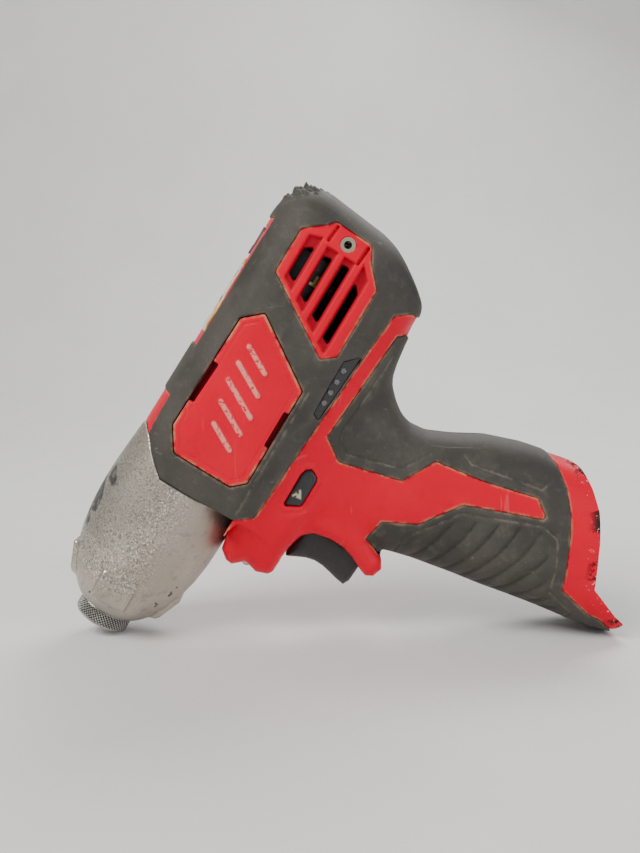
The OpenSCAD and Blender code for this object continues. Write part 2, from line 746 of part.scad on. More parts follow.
module brushes() {
    // carbon blocks with their clips, and the tags of the springs outside the barrel
    color(BRASS) place() for (a = [90, 270]) rotate([a, 0, 0]) {
        translate([124.6, -2.4, 6.02]) cube([6.6, 4.8, 9]);
        translate([127, -1, 15]) cube([1.6, 2, 3.4]);
        translate([127, -1, 18.2]) cube([6.4, 2, 0.5]);
    }
    color(BRASS) place() for (side = [-1, 1]) for (a = tag_angles)
        rotate([side * -(90 + a), 0, 0]) {
            translate([135.3, -0.5, 19.13]) cube([2.9, 1, 0.6]);
            translate([134.5, -1.5, 19.13]) cube([1, 3, 0.6]);
        }
}

// ---------- controls and wiring ----------
module switch_body() {
    color(BLACK) place() difference() {
        union() {
            translate([74.6, -10.4, -68.6]) cube([20.6, 20.8, 24]);
            translate([80.4, -7, -44.8]) cube([12, 14, 5]);
        }
        translate([0, 0, -55]) rod(70, 85, 3.3, 32);
        translate([0, 0, -55]) rod(70, 78.4, 5.4, 32);
        translate([75.4, -4.6, -46]) cube([4.6, 9.2, 4]);
        // step over the terminal block
        translate([87.2, -11, -69]) cube([9, 22, 2.95]);
    }
}
trigger_outline = [[52.8, -43.6], [54.2, -46.4], [55.6, -49.4], [56.3, -52.4], [56.2, -55.6],
    [55.5, -58.8], [54.7, -62], [54.2, -65], [56.6, -66.2], [62.6, -66.5], [68.4, -66.4],
    [68.4, -42.9], [53, -42.9]];
module trigger() {
    color(BLACK) place() {
        prism(trigger_outline, -trigger_half, trigger_half);
        translate([0, 0, -55]) rod(68.3, 77, 3.2, 32);
    }
}
module trigger_spring() {
    color(STEEL) place() translate([0, 0, -55]) coil(68.9, 78, 4.4, 0.45, 4, 14, 8);
}
module direction_shuttle() {
    color(BLACK) place() {
        pill(0, -19.2, 19.2);
        translate([76.6, -2, -44.5]) cube([2.2, 4, 9]);
    }
}
module terminal_block() {
    color(BLACK) place() difference() {
        translate([87.4, -12.4, -76.2]) cube([19.4, 24.8, 10]);
        for (y = [-8.4, -3, 3, 8.4]) translate([92, y - 0.6, -78]) cube([9, 1.2, 9]);
    }
}
module battery_contacts() {
    color(BRASS) place() for (y = [-8.4, -3, 3, 8.4])
        translate([92.4, y - 0.5, -84]) cube([8, 1, 14.8]);
}
// round wire along a list of points, kept in a plane of nearly constant y
function unit(v) = v / norm(v);
module wire(pts, r) {
    m = len(pts) - 1;
    skin([for (i = [0 : m])
        let(
            d = unit((i == 0 ? [0, 0, 0] : unit(pts[i] - pts[i - 1]))
                + (i == m ? [0, 0, 0] : unit(pts[i + 1] - pts[i]))),
            u = unit(cross(d, [0, 1, 0])), v = cross(d, u)
        )
        [for (j = [0 : 7]) pts[i] + r * (cos(45 * j) * u + sin(45 * j) * v)]]);
}
module leads() {
    color([0.7, 0.1, 0.1]) place() for (s = [-1, 1]) {
        wire([[97.5, s * 6, -66.1], [97.5, s * 6, -60], [97.5, s * 6, -40], [100, s * 6, -27],
            [114, s * 6, -24.5], [119.4, s * 6, -19.4], [121.7, s * 6, -18.3]], 0.9);
        wire([[93, s * 3.5, -39.6], [96.5, s * 3.5, -36], [99, s * 3, -28]], 0.7);
    }
}

left_housing();
right_housing();
left_body_overmold();
right_body_overmold();
left_grip_overmold();
right_grip_overmold();
left_side_panel();
right_side_panel();
top_label();
gearcase();
gearcase_seal();
nose_bushing();
anvil();
anvil_oring();
collet_sleeve();
collet_spring();
collet_washer();
retaining_ring();
bit_balls();
hammer();
hammer_spring();
spring_washer();
thrust_balls();
cam_balls();
planet_carrier();
planet_pins();
planet_gear_1();
planet_gear_2();
planet_gear_3();
ring_gear();
gear_plate();
front_bearing();
motor_fan();
motor_can();
magnets();
rotor_shaft();
pinion();
rotor_core();
windings();
commutator();
brush_holder();
brushes();
rear_bearing();
switch_body();
trigger();
trigger_spring();
direction_shuttle();
gauge_panel();
gauge_leds();
gauge_board();
work_light();
terminal_block();
battery_contacts();
leads();
housing_screws();
side_inserts();
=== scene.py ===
import bpy
import bmesh
import math
import numpy as np
from mathutils import Matrix, Vector


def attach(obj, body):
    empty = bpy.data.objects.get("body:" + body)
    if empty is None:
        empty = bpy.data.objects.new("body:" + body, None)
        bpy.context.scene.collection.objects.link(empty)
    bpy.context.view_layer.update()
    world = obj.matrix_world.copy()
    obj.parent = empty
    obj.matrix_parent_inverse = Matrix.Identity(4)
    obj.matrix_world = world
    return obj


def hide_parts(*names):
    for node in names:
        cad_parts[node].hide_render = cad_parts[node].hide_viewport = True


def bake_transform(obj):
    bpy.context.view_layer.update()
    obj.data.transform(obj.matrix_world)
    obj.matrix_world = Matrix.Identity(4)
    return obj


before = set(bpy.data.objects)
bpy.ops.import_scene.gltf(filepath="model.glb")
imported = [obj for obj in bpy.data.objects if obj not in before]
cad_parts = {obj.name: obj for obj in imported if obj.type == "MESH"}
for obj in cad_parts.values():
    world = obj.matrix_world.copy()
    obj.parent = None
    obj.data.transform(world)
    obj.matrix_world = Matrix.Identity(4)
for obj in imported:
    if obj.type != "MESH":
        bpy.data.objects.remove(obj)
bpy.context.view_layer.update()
# edge of a meshing cell in mm
CELL = 0.5

# ---------------------------------------------------------------- tool frame
# Tool frame in mm: x from the collet tip to the rear, y across, z up away from the handle.
PITCH = math.radians(58.3)
SHIFT = (-84.018, 4.628)


def to_row(v):
    """Tool-frame mm to row-frame metres, for an array of points."""
    v = np.asarray(v, float)
    c, s = math.cos(PITCH), math.sin(PITCH)
    return np.stack([SHIFT[0] + v[..., 0] * c - v[..., 2] * s, v[..., 1],
                     SHIFT[1] + v[..., 0] * s + v[..., 2] * c], -1) / 1000.0


def ease(a, b, x):
    t = np.clip((x - a) / (b - a), 0, 1)
    return t * t * (3 - 2 * t)


def smax(a, b, k):
    return np.maximum(a, b) + np.maximum(k - np.abs(a - b), 0) ** 2 / (4 * k)


def smin(a, b, k):
    return -smax(-a, -b, k)


# ---------------------------------------------------------------- outlines, [x, z] in mm
FRONT = [(68.6, 30), (68.6, 18.8), (66.7, 15.8), (62.9, 12.2), (57.2, 5.7), (57.2, -5.5),
         (57.9, -19.2), (57.9, -21.2)]
BASE_CUT = [(131.6, -105), (129.85, -112), (126, -116.6), (120.5, -121.6), (113, -126),
            (98.2, -133.4), (93.8, -145), (92.6, -151), (60, -153), (60, -175), (150, -175),
            (150, -105)]
LOGO = [(66.7, -15), (66.7, 6), (74.4, 11), (114.5, 9.7), (120, 3.5), (105, -19.2),
        (70.8, -19.2)]
VENT = [(116.2, -18.5), (132.5, 7.6), (148, 7.4), (153, 1.1), (155.6, -1), (154.8, -14.3),
        (149.7, -17), (143.4, -22.8), (119.6, -22.8)]
STRIPE_TOP = [(57.9, -21.2), (61.6, -26.8), (123.5, -30.2), (139.9, -31.6), (143.5, -36.3),
              (144.5, -42)]
LEG = [(137, -38.6), (134.8, -36.1), (96.2, -33.4), (91, -40.8), (96.1, -61.6),
       (107.2, -68.1), (109.6, -84.3), (114.2, -102.3), (110.2, -107.4), (109, -106.9),
       (99.6, -82.9), (86.5, -73.9), (81, -63.3), (73.4, -62.1), (70.6, -69.6), (69.6, -74)]
BAND_TOP = [(129.5, -98.4), (126.3, -103.6), (121.7, -108.6), (115.7, -113.2), (109.2, -117),
            (100.2, -121.2), (92.6, -124.6), (89.8, -136.8), (90.1, -142), (88, -151)]
BODY_RUBBER = [(50, 40), (50, -21.2)] + STRIPE_TOP + [(175, -42), (175, 40)]
GRIP_RUBBER = LEG + [(60, -74), (60, -156), (88, -156)] + BAND_TOP[::-1] + \
    [(150, -98.4), (150, -60), (137, -44)]
SLOTS = [[(134.2, 3.6), (143.2, 3.6), (145, 0.8), (132.6, 0.8)],
         [(130.4, -3), (144.2, -3), (144.8, -5.7), (128.8, -5.7)],
         [(126.8, -9.3), (145, -9.3), (145, -11.8), (125.4, -11.8)],
         [(122.6, -15.7), (142.2, -15.7), (139.4, -18.1), (121.2, -18.1)]]
CHANNELS = [[(129.6, 4.3), (147.5, 4.3), (149, 0), (127.2, 0)],
            [(125.8, -2.4), (147.5, -2.4), (147.5, -6.4), (123.6, -6.4)],
            [(122.2, -8.6), (147.5, -8.6), (147.5, -12.5), (120, -12.5)],
            [(118.6, -15), (148.5, -15), (144.5, -18.8), (117.8, -18.8)]]
PAD = [(147.4, -1.2), (155, -1.2), (155, -14), (147.4, -14)]
THIN = [[(154.3, -2.1), (149.2, -1.8)], [(153.4, -13.7), (147.6, -13.3)]]
GAUGE = [(100.6, -25.6), (119.4, -25.2), (123.6, -29.6), (99.2, -28.1)]
SCREWS = [(60, -31, 12.5), (127, -28.5, 19), (107, -54, 13), (121.4, -92, 13.5),
          (81.4, -99, 13), (156, 7, 14)]
INSERT = (151, -7.7)


def poly(points, x, z, r=0.0):
    """Signed distance to a closed outline, negative inside; r rounds its outer corners."""
    p = np.array(points, float)
    if r:
        p = inset(p, r)
    d2 = np.full(np.broadcast(x, z).shape, 1e9)
    inside = np.zeros(d2.shape, bool)
    for (x0, z0), (x1, z1) in zip(p, np.roll(p, -1, 0)):
        ex, ez = x1 - x0, z1 - z0
        t = np.clip(((x - x0) * ex + (z - z0) * ez) / (ex * ex + ez * ez + 1e-12), 0, 1)
        d2 = np.minimum(d2, (x - x0 - t * ex) ** 2 + (z - z0 - t * ez) ** 2)
        cross = (z0 > z) != (z1 > z)
        inside ^= cross & (x < x0 + ex * (z - z0) / (ez if ez else 1e-9))
    d = np.sqrt(d2)
    return np.where(inside, -d, d) - r


def inset(p, r):
    """The outline moved inwards by r."""
    if ((p[:, 0] * np.roll(p[:, 1], -1) - np.roll(p[:, 0], -1) * p[:, 1]).sum()) < 0:
        p = p[::-1]
    e = np.roll(p, -1, 0) - p
    n = np.stack([-e[:, 1], e[:, 0]], 1) / np.linalg.norm(e, axis=1)[:, None]
    m = np.roll(n, 1, 0)
    k = (n + m) / np.maximum(1 + (n * m).sum(1), 0.3)[:, None]
    return p + r * k


def line(points, x, z):
    """Distance to an open line of points."""
    d2 = np.full(np.broadcast(x, z).shape, 1e9)
    for (x0, z0), (x1, z1) in zip(points[:-1], points[1:]):
        ex, ez = x1 - x0, z1 - z0
        t = np.clip(((x - x0) * ex + (z - z0) * ez) / (ex * ex + ez * ez), 0, 1)
        d2 = np.minimum(d2, (x - x0 - t * ex) ** 2 + (z - z0 - t * ez) ** 2)
    return np.sqrt(d2)


# ---------------------------------------------------------------- outer form
def smooth_row(rows, width=2.5):
    z = np.array([r[0] for r in rows], float)[::-1]
    v = np.array([r[1] for r in rows], float)[::-1]
    zz = np.arange(z[0] - 12, z[-1] + 12, 0.25)
    vv = np.interp(zz, z, v)
    lo = zz < z[0]
    vv[lo] = v[0] + (zz[lo] - z[0]) * (v[1] - v[0]) / (z[1] - z[0])
    k = np.hanning(int(width / 0.25) * 2 + 1)
    vv = np.convolve(np.pad(vv, len(k) // 2, "edge"), k / k.sum(), "valid")
    return zz, vv, np.gradient(vv, zz)


FRONT_ROWS = smooth_row([(-25, 60), (-41, 50), (-42.5, 56), (-44.5, 60.5), (-47, 64),
                         (-51, 66.3), (-58, 67), (-65, 69.5), (-72, 72), (-80, 74),
                         (-94, 76.6), (-104, 78.2), (-114, 80.2), (-124, 82), (-134, 83.4),
                         (-144, 85.2), (-151, 87.6)])
REAR_ROWS = smooth_row([(-25, 137), (-38, 136.5), (-39.6, 133), (-41.5, 125.5), (-44, 121),
                        (-48, 117), (-52, 114.2), (-56, 113), (-62, 113.6), (-70, 117.2),
                        (-80, 122.8), (-92, 127), (-104, 129.6), (-111, 131), (-151, 131)])
HALF_ROWS = smooth_row([(-25, 19.8), (-36, 19.3), (-44, 18.4), (-56, 17.6), (-80, 17.6),
                        (-98, 18.8), (-112, 21), (-124, 22.3), (-151, 22.6)], 6)


def body_f(x, y, z):
    s = x + 0.11 * np.maximum(5 - z, 0) * (np.maximum(0, (x - 100) / 64)) ** 2
    ridge = 26.6 - 3.2 * (1 - ease(54, 78, s))
    ay = np.abs(y) * 26.6 / ridge
    round_top = np.sqrt(ay ** 2 + np.maximum(z, 0) ** 2) - (25.3 + 0.06 * np.maximum(-z, 0))
    upper = smax(z + 0.012 * y * y - (21.6 - 0.022 * (s - 60)), round_top, 4)
    low_face = 0.872 * ay - 0.487 * z - (0.872 * 26.6 + 10.2)
    shell = smax(smax(upper, low_face, 1.3), -z - 39.6, 8)
    shell = smax(shell, s - 164 + 0.01 * y * y, 12)
    shell = smax(shell, 0.707 * (x + z - 176.4) + 0.005 * y * y, 6)
    shell = smax(shell, 0.824 * (x - 161.3) - 0.566 * (z + 19.5), 3)
    # under the gearcase the body starts at the chin
    return np.maximum(shell, 57 - x - 12 * ease(-23, -20, z))


def row_at(rows, z):
    """Value and slope of a smoothed row at height z."""
    return np.interp(z, rows[0], rows[1]), np.interp(z, rows[0], rows[2])


def grip_f(x, y, z):
    f, df = row_at(FRONT_ROWS, z)
    b, db = row_at(REAR_ROWS, z)
    w, _ = row_at(HALF_ROWS, z)
    a, xc, n = (b - f) / 2, (b + f) / 2, 2.7
    u, v = np.abs((x - xc) / a) + 1e-6, np.abs(y / w) + 1e-6
    g = (u ** n + v ** n) ** (1 / n)
    gu, gv = (u / g) ** (n - 1) / a, (v / g) ** (n - 1) / w
    m = np.sqrt(gu ** 2 + gv ** 2)
    slope = np.where(x > xc, db, df) * gu / m
    d = (g - 1) / m / np.sqrt(1 + slope ** 2)
    return smax(smax(d, z + 25, 1), -z - 150.2, 1.2)


CHIN = [(72, -18.5), (56, -20.4), (44.8, -22.6), (41.8, -26), (41.4, -29), (44.6, -32.4),
        (43.2, -37), (44.8, -41.4), (46.8, -42.6), (51.2, -42.6), (58, -41.8), (72, -41.6)]
LIP = [(84, -38), (58, -40), (57, -42), (62.6, -43.8), (64.9, -47), (66, -52), (65.9, -57),
       (64.6, -61.5), (62.2, -66.3), (61.4, -68.8), (62.8, -71.6), (66.8, -73), (70.4, -70.8),
       (73.4, -64.5), (84, -60)]


def chin_f(x, y, z):
    side = np.abs(y) - (15.2 + 0.25 * (x - 46) + 0.1 * (z + 36))
    return smax(poly(CHIN, x, z, 1.2), side / 1.04, 6)


def outer_f(x, y, z):
    f = smin(body_f(x, y, z), grip_f(x, y, z), 5)
    lip = smax(poly(LIP, x, z, 1.2), np.abs(y) - 15.8, 5)
    return smin(smin(f, chin_f(x, y, z), 2.5), lip, 1.5)


def rod(x, y, z, a, b, r):
    return np.maximum(np.sqrt(y * y + z * z) - r, np.maximum(a - x, x - b))


def brick(x, y, z, lo, hi):
    across = np.maximum(np.maximum(lo[0] - x, x - hi[0]), np.maximum(lo[1] - y, y - hi[1]))
    return np.maximum(across, np.maximum(lo[2] - z, z - hi[2]))


WELL = [(89.3, -75), (114.7, -75), (124.4, -134), (118, -160), (90, -160), (90.4, -139)]


# hollows of the housing: rounds from a to b with radius r, and boxes from lo to hi
GEARCASE_SEAT = (50, 70.2, 18.85)
ROUNDS = ((70.1, 122, 18.15), (121.9, 143.9, 20.2), (143.8, 151.6, 12.4), (30, 58.3, 23.05))
BOXES = (((72, -13, -29.6), (122, 13, -13.6)), ((67.4, -11.6, -70.4), (96, 11.6, -28.4)),
         ((92, -9, -62), (101.5, 9, -28)), ((86.5, -12.6, -76.5), (107.5, 12.6, -65.5)),
         ((40, -8.1, -66.9), (72, 8.1, -42.5)))
WELL_HALF = 14.6


def hollow_f(x, y, z, well):
    h = rod(x, y, z, *GEARCASE_SEAT)
    for a, b, r in ROUNDS:
        h = np.minimum(h, rod(x, y, z, a, b, r))
    for lo, hi in BOXES:
        h = np.minimum(h, brick(x, y, z, lo, hi))
    return np.minimum(h, smax(well, np.abs(y) - WELL_HALF, 5))


# ---------------------------------------------------------------- surface meshing
def net(f, lo, hi, cell, steps=3):
    """Points and quads of the closed surface f(x, y, z) = 0 inside a box."""
    ax = [np.arange(lo[i], hi[i] + cell, cell) for i in range(3)]
    X, Y, Z = np.meshgrid(*ax, indexing="ij", sparse=True)
    v = f(X, Y, Z)
    v = np.ascontiguousarray(np.broadcast_to(v, tuple(len(a) for a in ax)), dtype=np.float32)
    n = tuple(k - 1 for k in v.shape)
    pos = np.zeros(n + (3,), np.float32)
    cnt = np.zeros(n, np.uint8)
    sl = [slice(0, -1), slice(1, None)]
    inside = v < 0
    for axis in range(3):
        o = [k for k in range(3) if k != axis]
        for a in (0, 1):
            for b in (0, 1):
                i0, i1 = [None] * 3, [None] * 3
                i0[axis], i1[axis] = sl[0], sl[1]
                i0[o[0]] = i1[o[0]] = sl[a]
                i0[o[1]] = i1[o[1]] = sl[b]
                p, q = v[tuple(i0)], v[tuple(i1)]
                m = inside[tuple(i0)] != inside[tuple(i1)]
                t = p[m] / (p[m] - q[m])
                add = np.zeros((len(t), 3), np.float32)
                add[:, axis] = t
                add[:, o[0]] = a
                add[:, o[1]] = b
                pos[m] += add
                cnt[m] += 1
    used = cnt > 0
    index = np.full(n, -1, np.int64)
    index[used] = np.arange(used.sum())
    base = np.stack(np.nonzero(used), 1)
    pts = (base + pos[used] / cnt[used][:, None]) * cell + np.array([a[0] for a in ax])
    quads = []
    for axis in range(3):
        o = [k for k in range(3) if k != axis]
        core = [None] * 3
        core[axis] = slice(0, None)
        core[o[0]] = core[o[1]] = slice(1, -1)
        w = inside[tuple(core)]
        s0, s1 = [slice(None)] * 3, [slice(None)] * 3
        s0[axis], s1[axis] = sl[0], sl[1]
        a, b = w[tuple(s0)], w[tuple(s1)]
        for m, flip in ((a & ~b, False), (~a & b, True)):
            i = np.stack(np.nonzero(m), 1)
            c = []
            for du, dw in ((0, 0), (1, 0), (1, 1), (0, 1)):
                k = i.copy()
                k[:, o[0]] += du
                k[:, o[1]] += dw
                c.append(index[k[:, 0], k[:, 1], k[:, 2]])
            c = np.stack(c, 1)
            if flip != (axis == 1):
                c = c[:, ::-1]
            quads.append(c)
    quads = np.concatenate(quads)
    for _ in range(steps):
        x, y, z = pts.T
        h = 0.06
        d = f(x, y, z)
        g = np.stack([f(x + h, y, z) - f(x - h, y, z), f(x, y + h, z) - f(x, y - h, z),
                      f(x, y, z + h) - f(x, y, z - h)], 1) / (2 * h)
        g2 = np.maximum((g * g).sum(1), 0.05)
        step = -(d / g2)[:, None] * g
        ln = np.linalg.norm(step, axis=1)
        step *= np.minimum(1, 0.5 * cell / np.maximum(ln, 1e-9))[:, None]
        pts = pts + step
    return pts, quads


def mesh(name, pts, faces, smooth=True):
    me = bpy.data.meshes.new(name)
    me.from_pydata([], [], [])
    faces = np.asarray(faces)
    v = to_row(pts).astype(np.float32)
    me.vertices.add(len(v))
    me.vertices.foreach_set("co", v.ravel())
    k = faces.shape[1]
    me.loops.add(faces.size)
    me.loops.foreach_set("vertex_index", faces.ravel().astype(np.int32))
    me.polygons.add(len(faces))
    me.polygons.foreach_set("loop_start", np.arange(0, faces.size, k, dtype=np.int32))
    me.polygons.foreach_set("loop_total", np.full(len(faces), k, np.int32))
    me.update()
    me.validate()
    if smooth:
        me.polygons.foreach_set("use_smooth", np.ones(len(me.polygons), bool))
    ob = bpy.data.objects.new(name, me)
    bpy.context.scene.collection.objects.link(ob)
    return ob


# ---------------------------------------------------------------- seeded noise
LATTICE = np.random.default_rng(7).random((32, 32, 32))


def noise(x, y, z, size):
    """Smooth random values between 0 and 1 with features of the given size in mm."""
    p = np.stack([x, y, z], -1) / size
    i = np.floor(p).astype(int)
    t = p - i
    t = t * t * (3 - 2 * t)
    out = 0
    for c in np.ndindex(2, 2, 2):
        k = (i + c) % 32
        w = np.prod(np.where(c, t, 1 - t), -1)
        out = out + w * LATTICE[k[..., 0], k[..., 1], k[..., 2]]
    return out


# ---------------------------------------------------------------- shell fields
SPINE = [(66, 81.5, 17), (99, 147, 14.5)]
PALM_LINE = [(129.1, -38.5), (100.1, -36.8), (96.6, -38.2), (94.3, -41.7), (99.3, -59.6),
             (107.8, -65.3)]
BACK_LINE = [(113.6, -75.1), (112.2, -78.5), (117, -102.2), (121.2, -103.4)]
RIB_ZONE = [(60, -72.8), (80.5, -72.5), (97, -83.9), (107.1, -108.1), (105.9, -114),
            (103.7, -115.7), (96.8, -119.2), (89.8, -121.6), (87.2, -132.4), (60, -136)]
BODY_LINE = [(59.5, -21), (105.8, -20.8)]
# the red surface lies STEP under the rubber one; the rubber lies in beds of these depths
STEP = 0.6
BED = 1.45
GRIP_BED = 2.3
PANEL_BED = 2.3
GAUGE_BED = 2.0


def trims(x, z):
    """Front edge, base edge and toe, positive where material is kept."""
    front = poly([(40, 40)] + FRONT + [(40, -21.2)], x, z)
    return np.minimum(front, poly(BASE_CUT, x, z))


def body_area(x, y, z):
    d = poly(BODY_RUBBER, x, z)
    for window in (LOGO, VENT):
        d = np.maximum(d, -poly(window, x, z, 1.2))
    for a, b, w in SPINE:
        d = np.maximum(d, -np.maximum(np.maximum(a - x, x - b),
                                      np.maximum(np.abs(y) - w, 5 - z)))
    return d


def grip_area(x, z):
    return poly(GRIP_RUBBER, x, z)


BUTTON = [(70.2, -32.6), (70, -33.6), (72, -37.3), (73, -37.8), (82, -38), (83.2, -37.2),
          (84.6, -34.6), (83.5, -33), (81.6, -32.4)]
ARROW = [(73.9, -33.5), (74.5, -36.4), (76.9, -35)]


def pill(x, z, grow):
    return poly(BUTTON, x, z, 0.5) - grow


def gauge(x, z):
    return poly(GAUGE, x, z, 0.4)


def half(y, side):
    return 0.03 - side * y


def body_rubber(x, y, z, side):
    skin = outer_f(x, y, z)
    area = body_area(x, y, z)
    lines = 0.3 * np.exp(-(line(BODY_LINE, x, z) / 0.4) ** 2)
    f = smax(skin + lines, area, 0.5)
    f = np.maximum(f, -(skin + BED - 0.05))
    f = smax(f, half(y, side), 0.35)
    if side < 0:
        f = np.maximum(f, -gauge(x, z) + 0 * y)
    return smax(f, -trims(x, z), 0.4)


def rib_depth(x, z):
    zone = poly(RIB_ZONE, x, z)
    # ridges run across the grip and sweep towards the trigger at its front
    inner = 95 - 0.3 * (z + 84)
    phase = (z - 0.015 * np.maximum(inner - x, 0) ** 2) / 6.4
    wave = np.abs(np.sin(math.pi * phase)) ** 0.6
    return (1 - wave) * 1.25 * ease(-0.3, -3.0, zone) + 0.4 * np.exp(-(zone / 0.45) ** 2)


def grip_rubber(x, y, z, side):
    skin = outer_f(x, y, z)
    away = ease(6, 10, np.abs(y))
    cut = 0.45 * np.exp(-(line(PALM_LINE, x, z) / 0.45) ** 2)
    cut = cut + 0.4 * np.exp(-(line(BACK_LINE, x, z) / 0.45) ** 2)
    f = smax(skin + (cut + rib_depth(x, z)) * away, grip_area(x, z), 0.5)
    f = np.maximum(f, -(skin + GRIP_BED - 0.05))
    f = smax(f, half(y, side), 0.35)
    f = np.maximum(f, -chin_gap(x, y, z))
    return smax(f, -trims(x, z), 0.4)


def chin_gap(x, y, z):
    return brick(x, y, z, (40, -8.1, -66.9), (75, 8.1, -42.5))


def red_shell(x, y, z, side):
    skin = outer_f(x, y, z)
    f = skin + STEP
    f = smax(f, -trims(x, z), 0.5)
    f = np.maximum(f, -np.maximum(body_area(x, y, z) + 0.02, -(skin + BED)))
    f = np.maximum(f, -np.maximum(grip_area(x, z) + 0.02, -(skin + GRIP_BED)))
    panel = np.maximum(poly(LOGO, x, z, 1.0) + 0 * y, -(skin + PANEL_BED))
    panel = np.maximum(panel, 20 - np.abs(y))
    f = np.maximum(f, -panel)
    well = poly(WELL, x, z)
    f = smax(f, -hollow_f(x, y, z, well), 0.4)
    vent = poly(VENT, x, z, 1.2)
    rim = ease(-1.2, -2.2, vent) * ease(0.4, -0.4, poly(PAD, x, z) * -1) * (np.abs(y) > 14)
    for channel in CHANNELS:
        f = f + 1.1 * rim * ease(0.35, -0.35, poly(channel, x, z))
    for slot in SLOTS:
        f = smax(f, -np.maximum(poly(slot, x, z, 0.5), 10 - np.abs(y)), 0.4)
    f = f - 0.3 * ease(0.3, -0.3, poly(PAD, x, z, 0.5)) * (np.abs(y) > 14)
    for thin in THIN:
        f = f + 1.2 * ease(0.75, 0.35, line(thin, x, z)) * (np.abs(y) > 14)
    hole = np.sqrt((x - INSERT[0]) ** 2 + (z - INSERT[1]) ** 2)
    f = np.maximum(f, 2.42 - hole + 0 * y)
    f = smax(f, -np.maximum(pill(x, z, 0.2), 7 - np.abs(y)), 0.4)
    f = f - 0.3 * ease(1.2, 0.4, np.abs(pill(x, z, 0.8))) * (np.abs(y) > 12)
    if side < 0:
        f = np.maximum(f, -np.maximum(gauge(x, z) + 0 * y, -(skin + GAUGE_BED)))
    else:
        for sx, sz, seat in SCREWS:
            head = np.sqrt((x - sx) ** 2 + (z - sz) ** 2)
            f = smax(f, -np.maximum(head - 3.0, seat - y), 0.4)
    return smax(f, half(y, side), 0.35)


NOTCHES = [[(84, 12), (98.5, 12), (98.5, 7.9), (84, 8.7)],
           [(84, -21), (96.5, -21), (96.5, -17.4), (84, -17.4)]]


def bars(x, z):
    """Plain raised bars across the side panel."""
    d = 1e3
    for k in range(5):
        half_bar = (4.2, 5.2, 6.0, 5.2, 4.2)[k]
        a, b = 79.5 + 6.6 * k, -4.6 + 0.7 * k
        d = np.minimum(d, line([(a - 0.55 * half_bar, b - half_bar),
                                (a + 0.55 * half_bar, b + half_bar)], x, z) - 0.8)
    return d


def side_panel(x, y, z):
    skin = outer_f(x, y, z)
    f = smax(skin + 0.35, poly(LOGO, x, z, 1.0) + 0.25, 0.8)
    f = f + 0.25 * ease(0.35, 0.0, np.abs(poly(LOGO, x, z, 1.0) + 2.4))
    f = np.maximum(np.maximum(f, -(skin + 2.2)), 20.05 - np.abs(y))
    for n in NOTCHES:
        f = smax(f, -poly(n, x, z, 0.5), 0.4)
    return f - 0.5 * ease(0.35, -0.35, bars(x, z))


def torn(p):
    """Crumbs of torn rubber standing up from the rear top edge."""
    x, y, z = p.T
    zone = ease(152, 157, x) * ease(5.5, 9, z) * ease(16, 12, np.abs(y + 2))
    spike = np.maximum(noise(x, y, z, 1.3) - 0.62, 0) * 5.5
    spike = spike + np.maximum(noise(y, z, x, 2.6) - 0.6, 0) * 3
    return p + (zone * spike)[:, None] * np.array([0.72, 0.05, 0.69])


def place(name, f, lo, hi, node, body, cell=None, shape=None):
    pts, quads = net(f, lo, hi, cell or CELL)
    if shape:
        pts = shape(pts)
    ob = mesh(name, pts, quads)
    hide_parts(node)
    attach(ob, body)
    return ob, pts


def rubber_edge(area, x, y, z):
    """1 along the border of a rubber area, on its outer surface."""
    return ease(0.9, 0.1, np.abs(area)) * ease(-1.2, -0.5, outer_f(x, y, z))


def attribute(ob, name, values):
    a = ob.data.attributes.new(name, "FLOAT", "POINT")
    a.data.foreach_set("value", np.clip(values, 0, 1).astype(np.float32))


RED, RUBBER = [], []
for side, word in ((-1, "left"), (1, "right")):
    ylo, yhi = (-27.5, 1) if side < 0 else (-1, 27.5)
    ob, p = place(word + "_red_shell", lambda x, y, z: red_shell(x, y, z, side),
                  (40, ylo, -153), (166, yhi, 24), word + "_housing", "housing")
    x, y, z = p.T
    area = np.minimum(body_area(x, y, z), grip_area(x, z))
    top = ease(-2.2, -1.0, outer_f(x, y, z))
    attribute(ob, "edge", ease(0.9, 0.1, np.abs(area)) * top)
    attribute(ob, "chip", ease(4.5, 0.6, poly(BASE_CUT, x, z)) * ease(-100, -108, z) * top)
    # painted shade: red surfaces lying over a millimetre under the outer skin (slots, channels,
    # hollows) are marked here to be darkened towards near black
    attribute(ob, "recess_shade", 1 - top)
    RED.append(ob)
    ob, p = place(word + "_body_rubber", lambda x, y, z: body_rubber(x, y, z, side),
                  (53, ylo, -44), (166, yhi, 24), word + "_body_overmold", "housing",
                  shape=torn)
    x, y, z = p.T
    attribute(ob, "edge", rubber_edge(body_area(x, y, z), x, y, z))
    attribute(ob, "line", ease(0.45, 0.1, line(BODY_LINE, x, z)))
    RUBBER.append(ob)
    ob, p = place(word + "_grip_rubber", lambda x, y, z: grip_rubber(x, y, z, side),
                  (60, ylo, -153), (142, yhi, -30), word + "_grip_overmold", "housing")
    x, y, z = p.T
    attribute(ob, "edge", rubber_edge(grip_area(x, z), x, y, z))
    lines = np.minimum(line(PALM_LINE, x, z), line(BACK_LINE, x, z))
    attribute(ob, "line", ease(0.45, 0.1, np.minimum(lines, np.abs(poly(RIB_ZONE, x, z)))))
    RUBBER.append(ob)
    ob, p = place(word + "_panel", side_panel, (64, -27.5 if side < 0 else 19, -22),
                  (123, -19 if side < 0 else 27.5, 14), word + "_side_panel", "housing",
                  CELL * 0.8)
    x, y, z = p.T
    attribute(ob, "edge", ease(1.0, 0.1, np.abs(poly(LOGO, x, z, 1.0) + 0.4)))
    attribute(ob, "worn", ease(0.15, -0.15, bars(x, z)))
    attribute(ob, "chip", 0 * x)
    attribute(ob, "recess_shade", 0 * x)
    RED.append(ob)

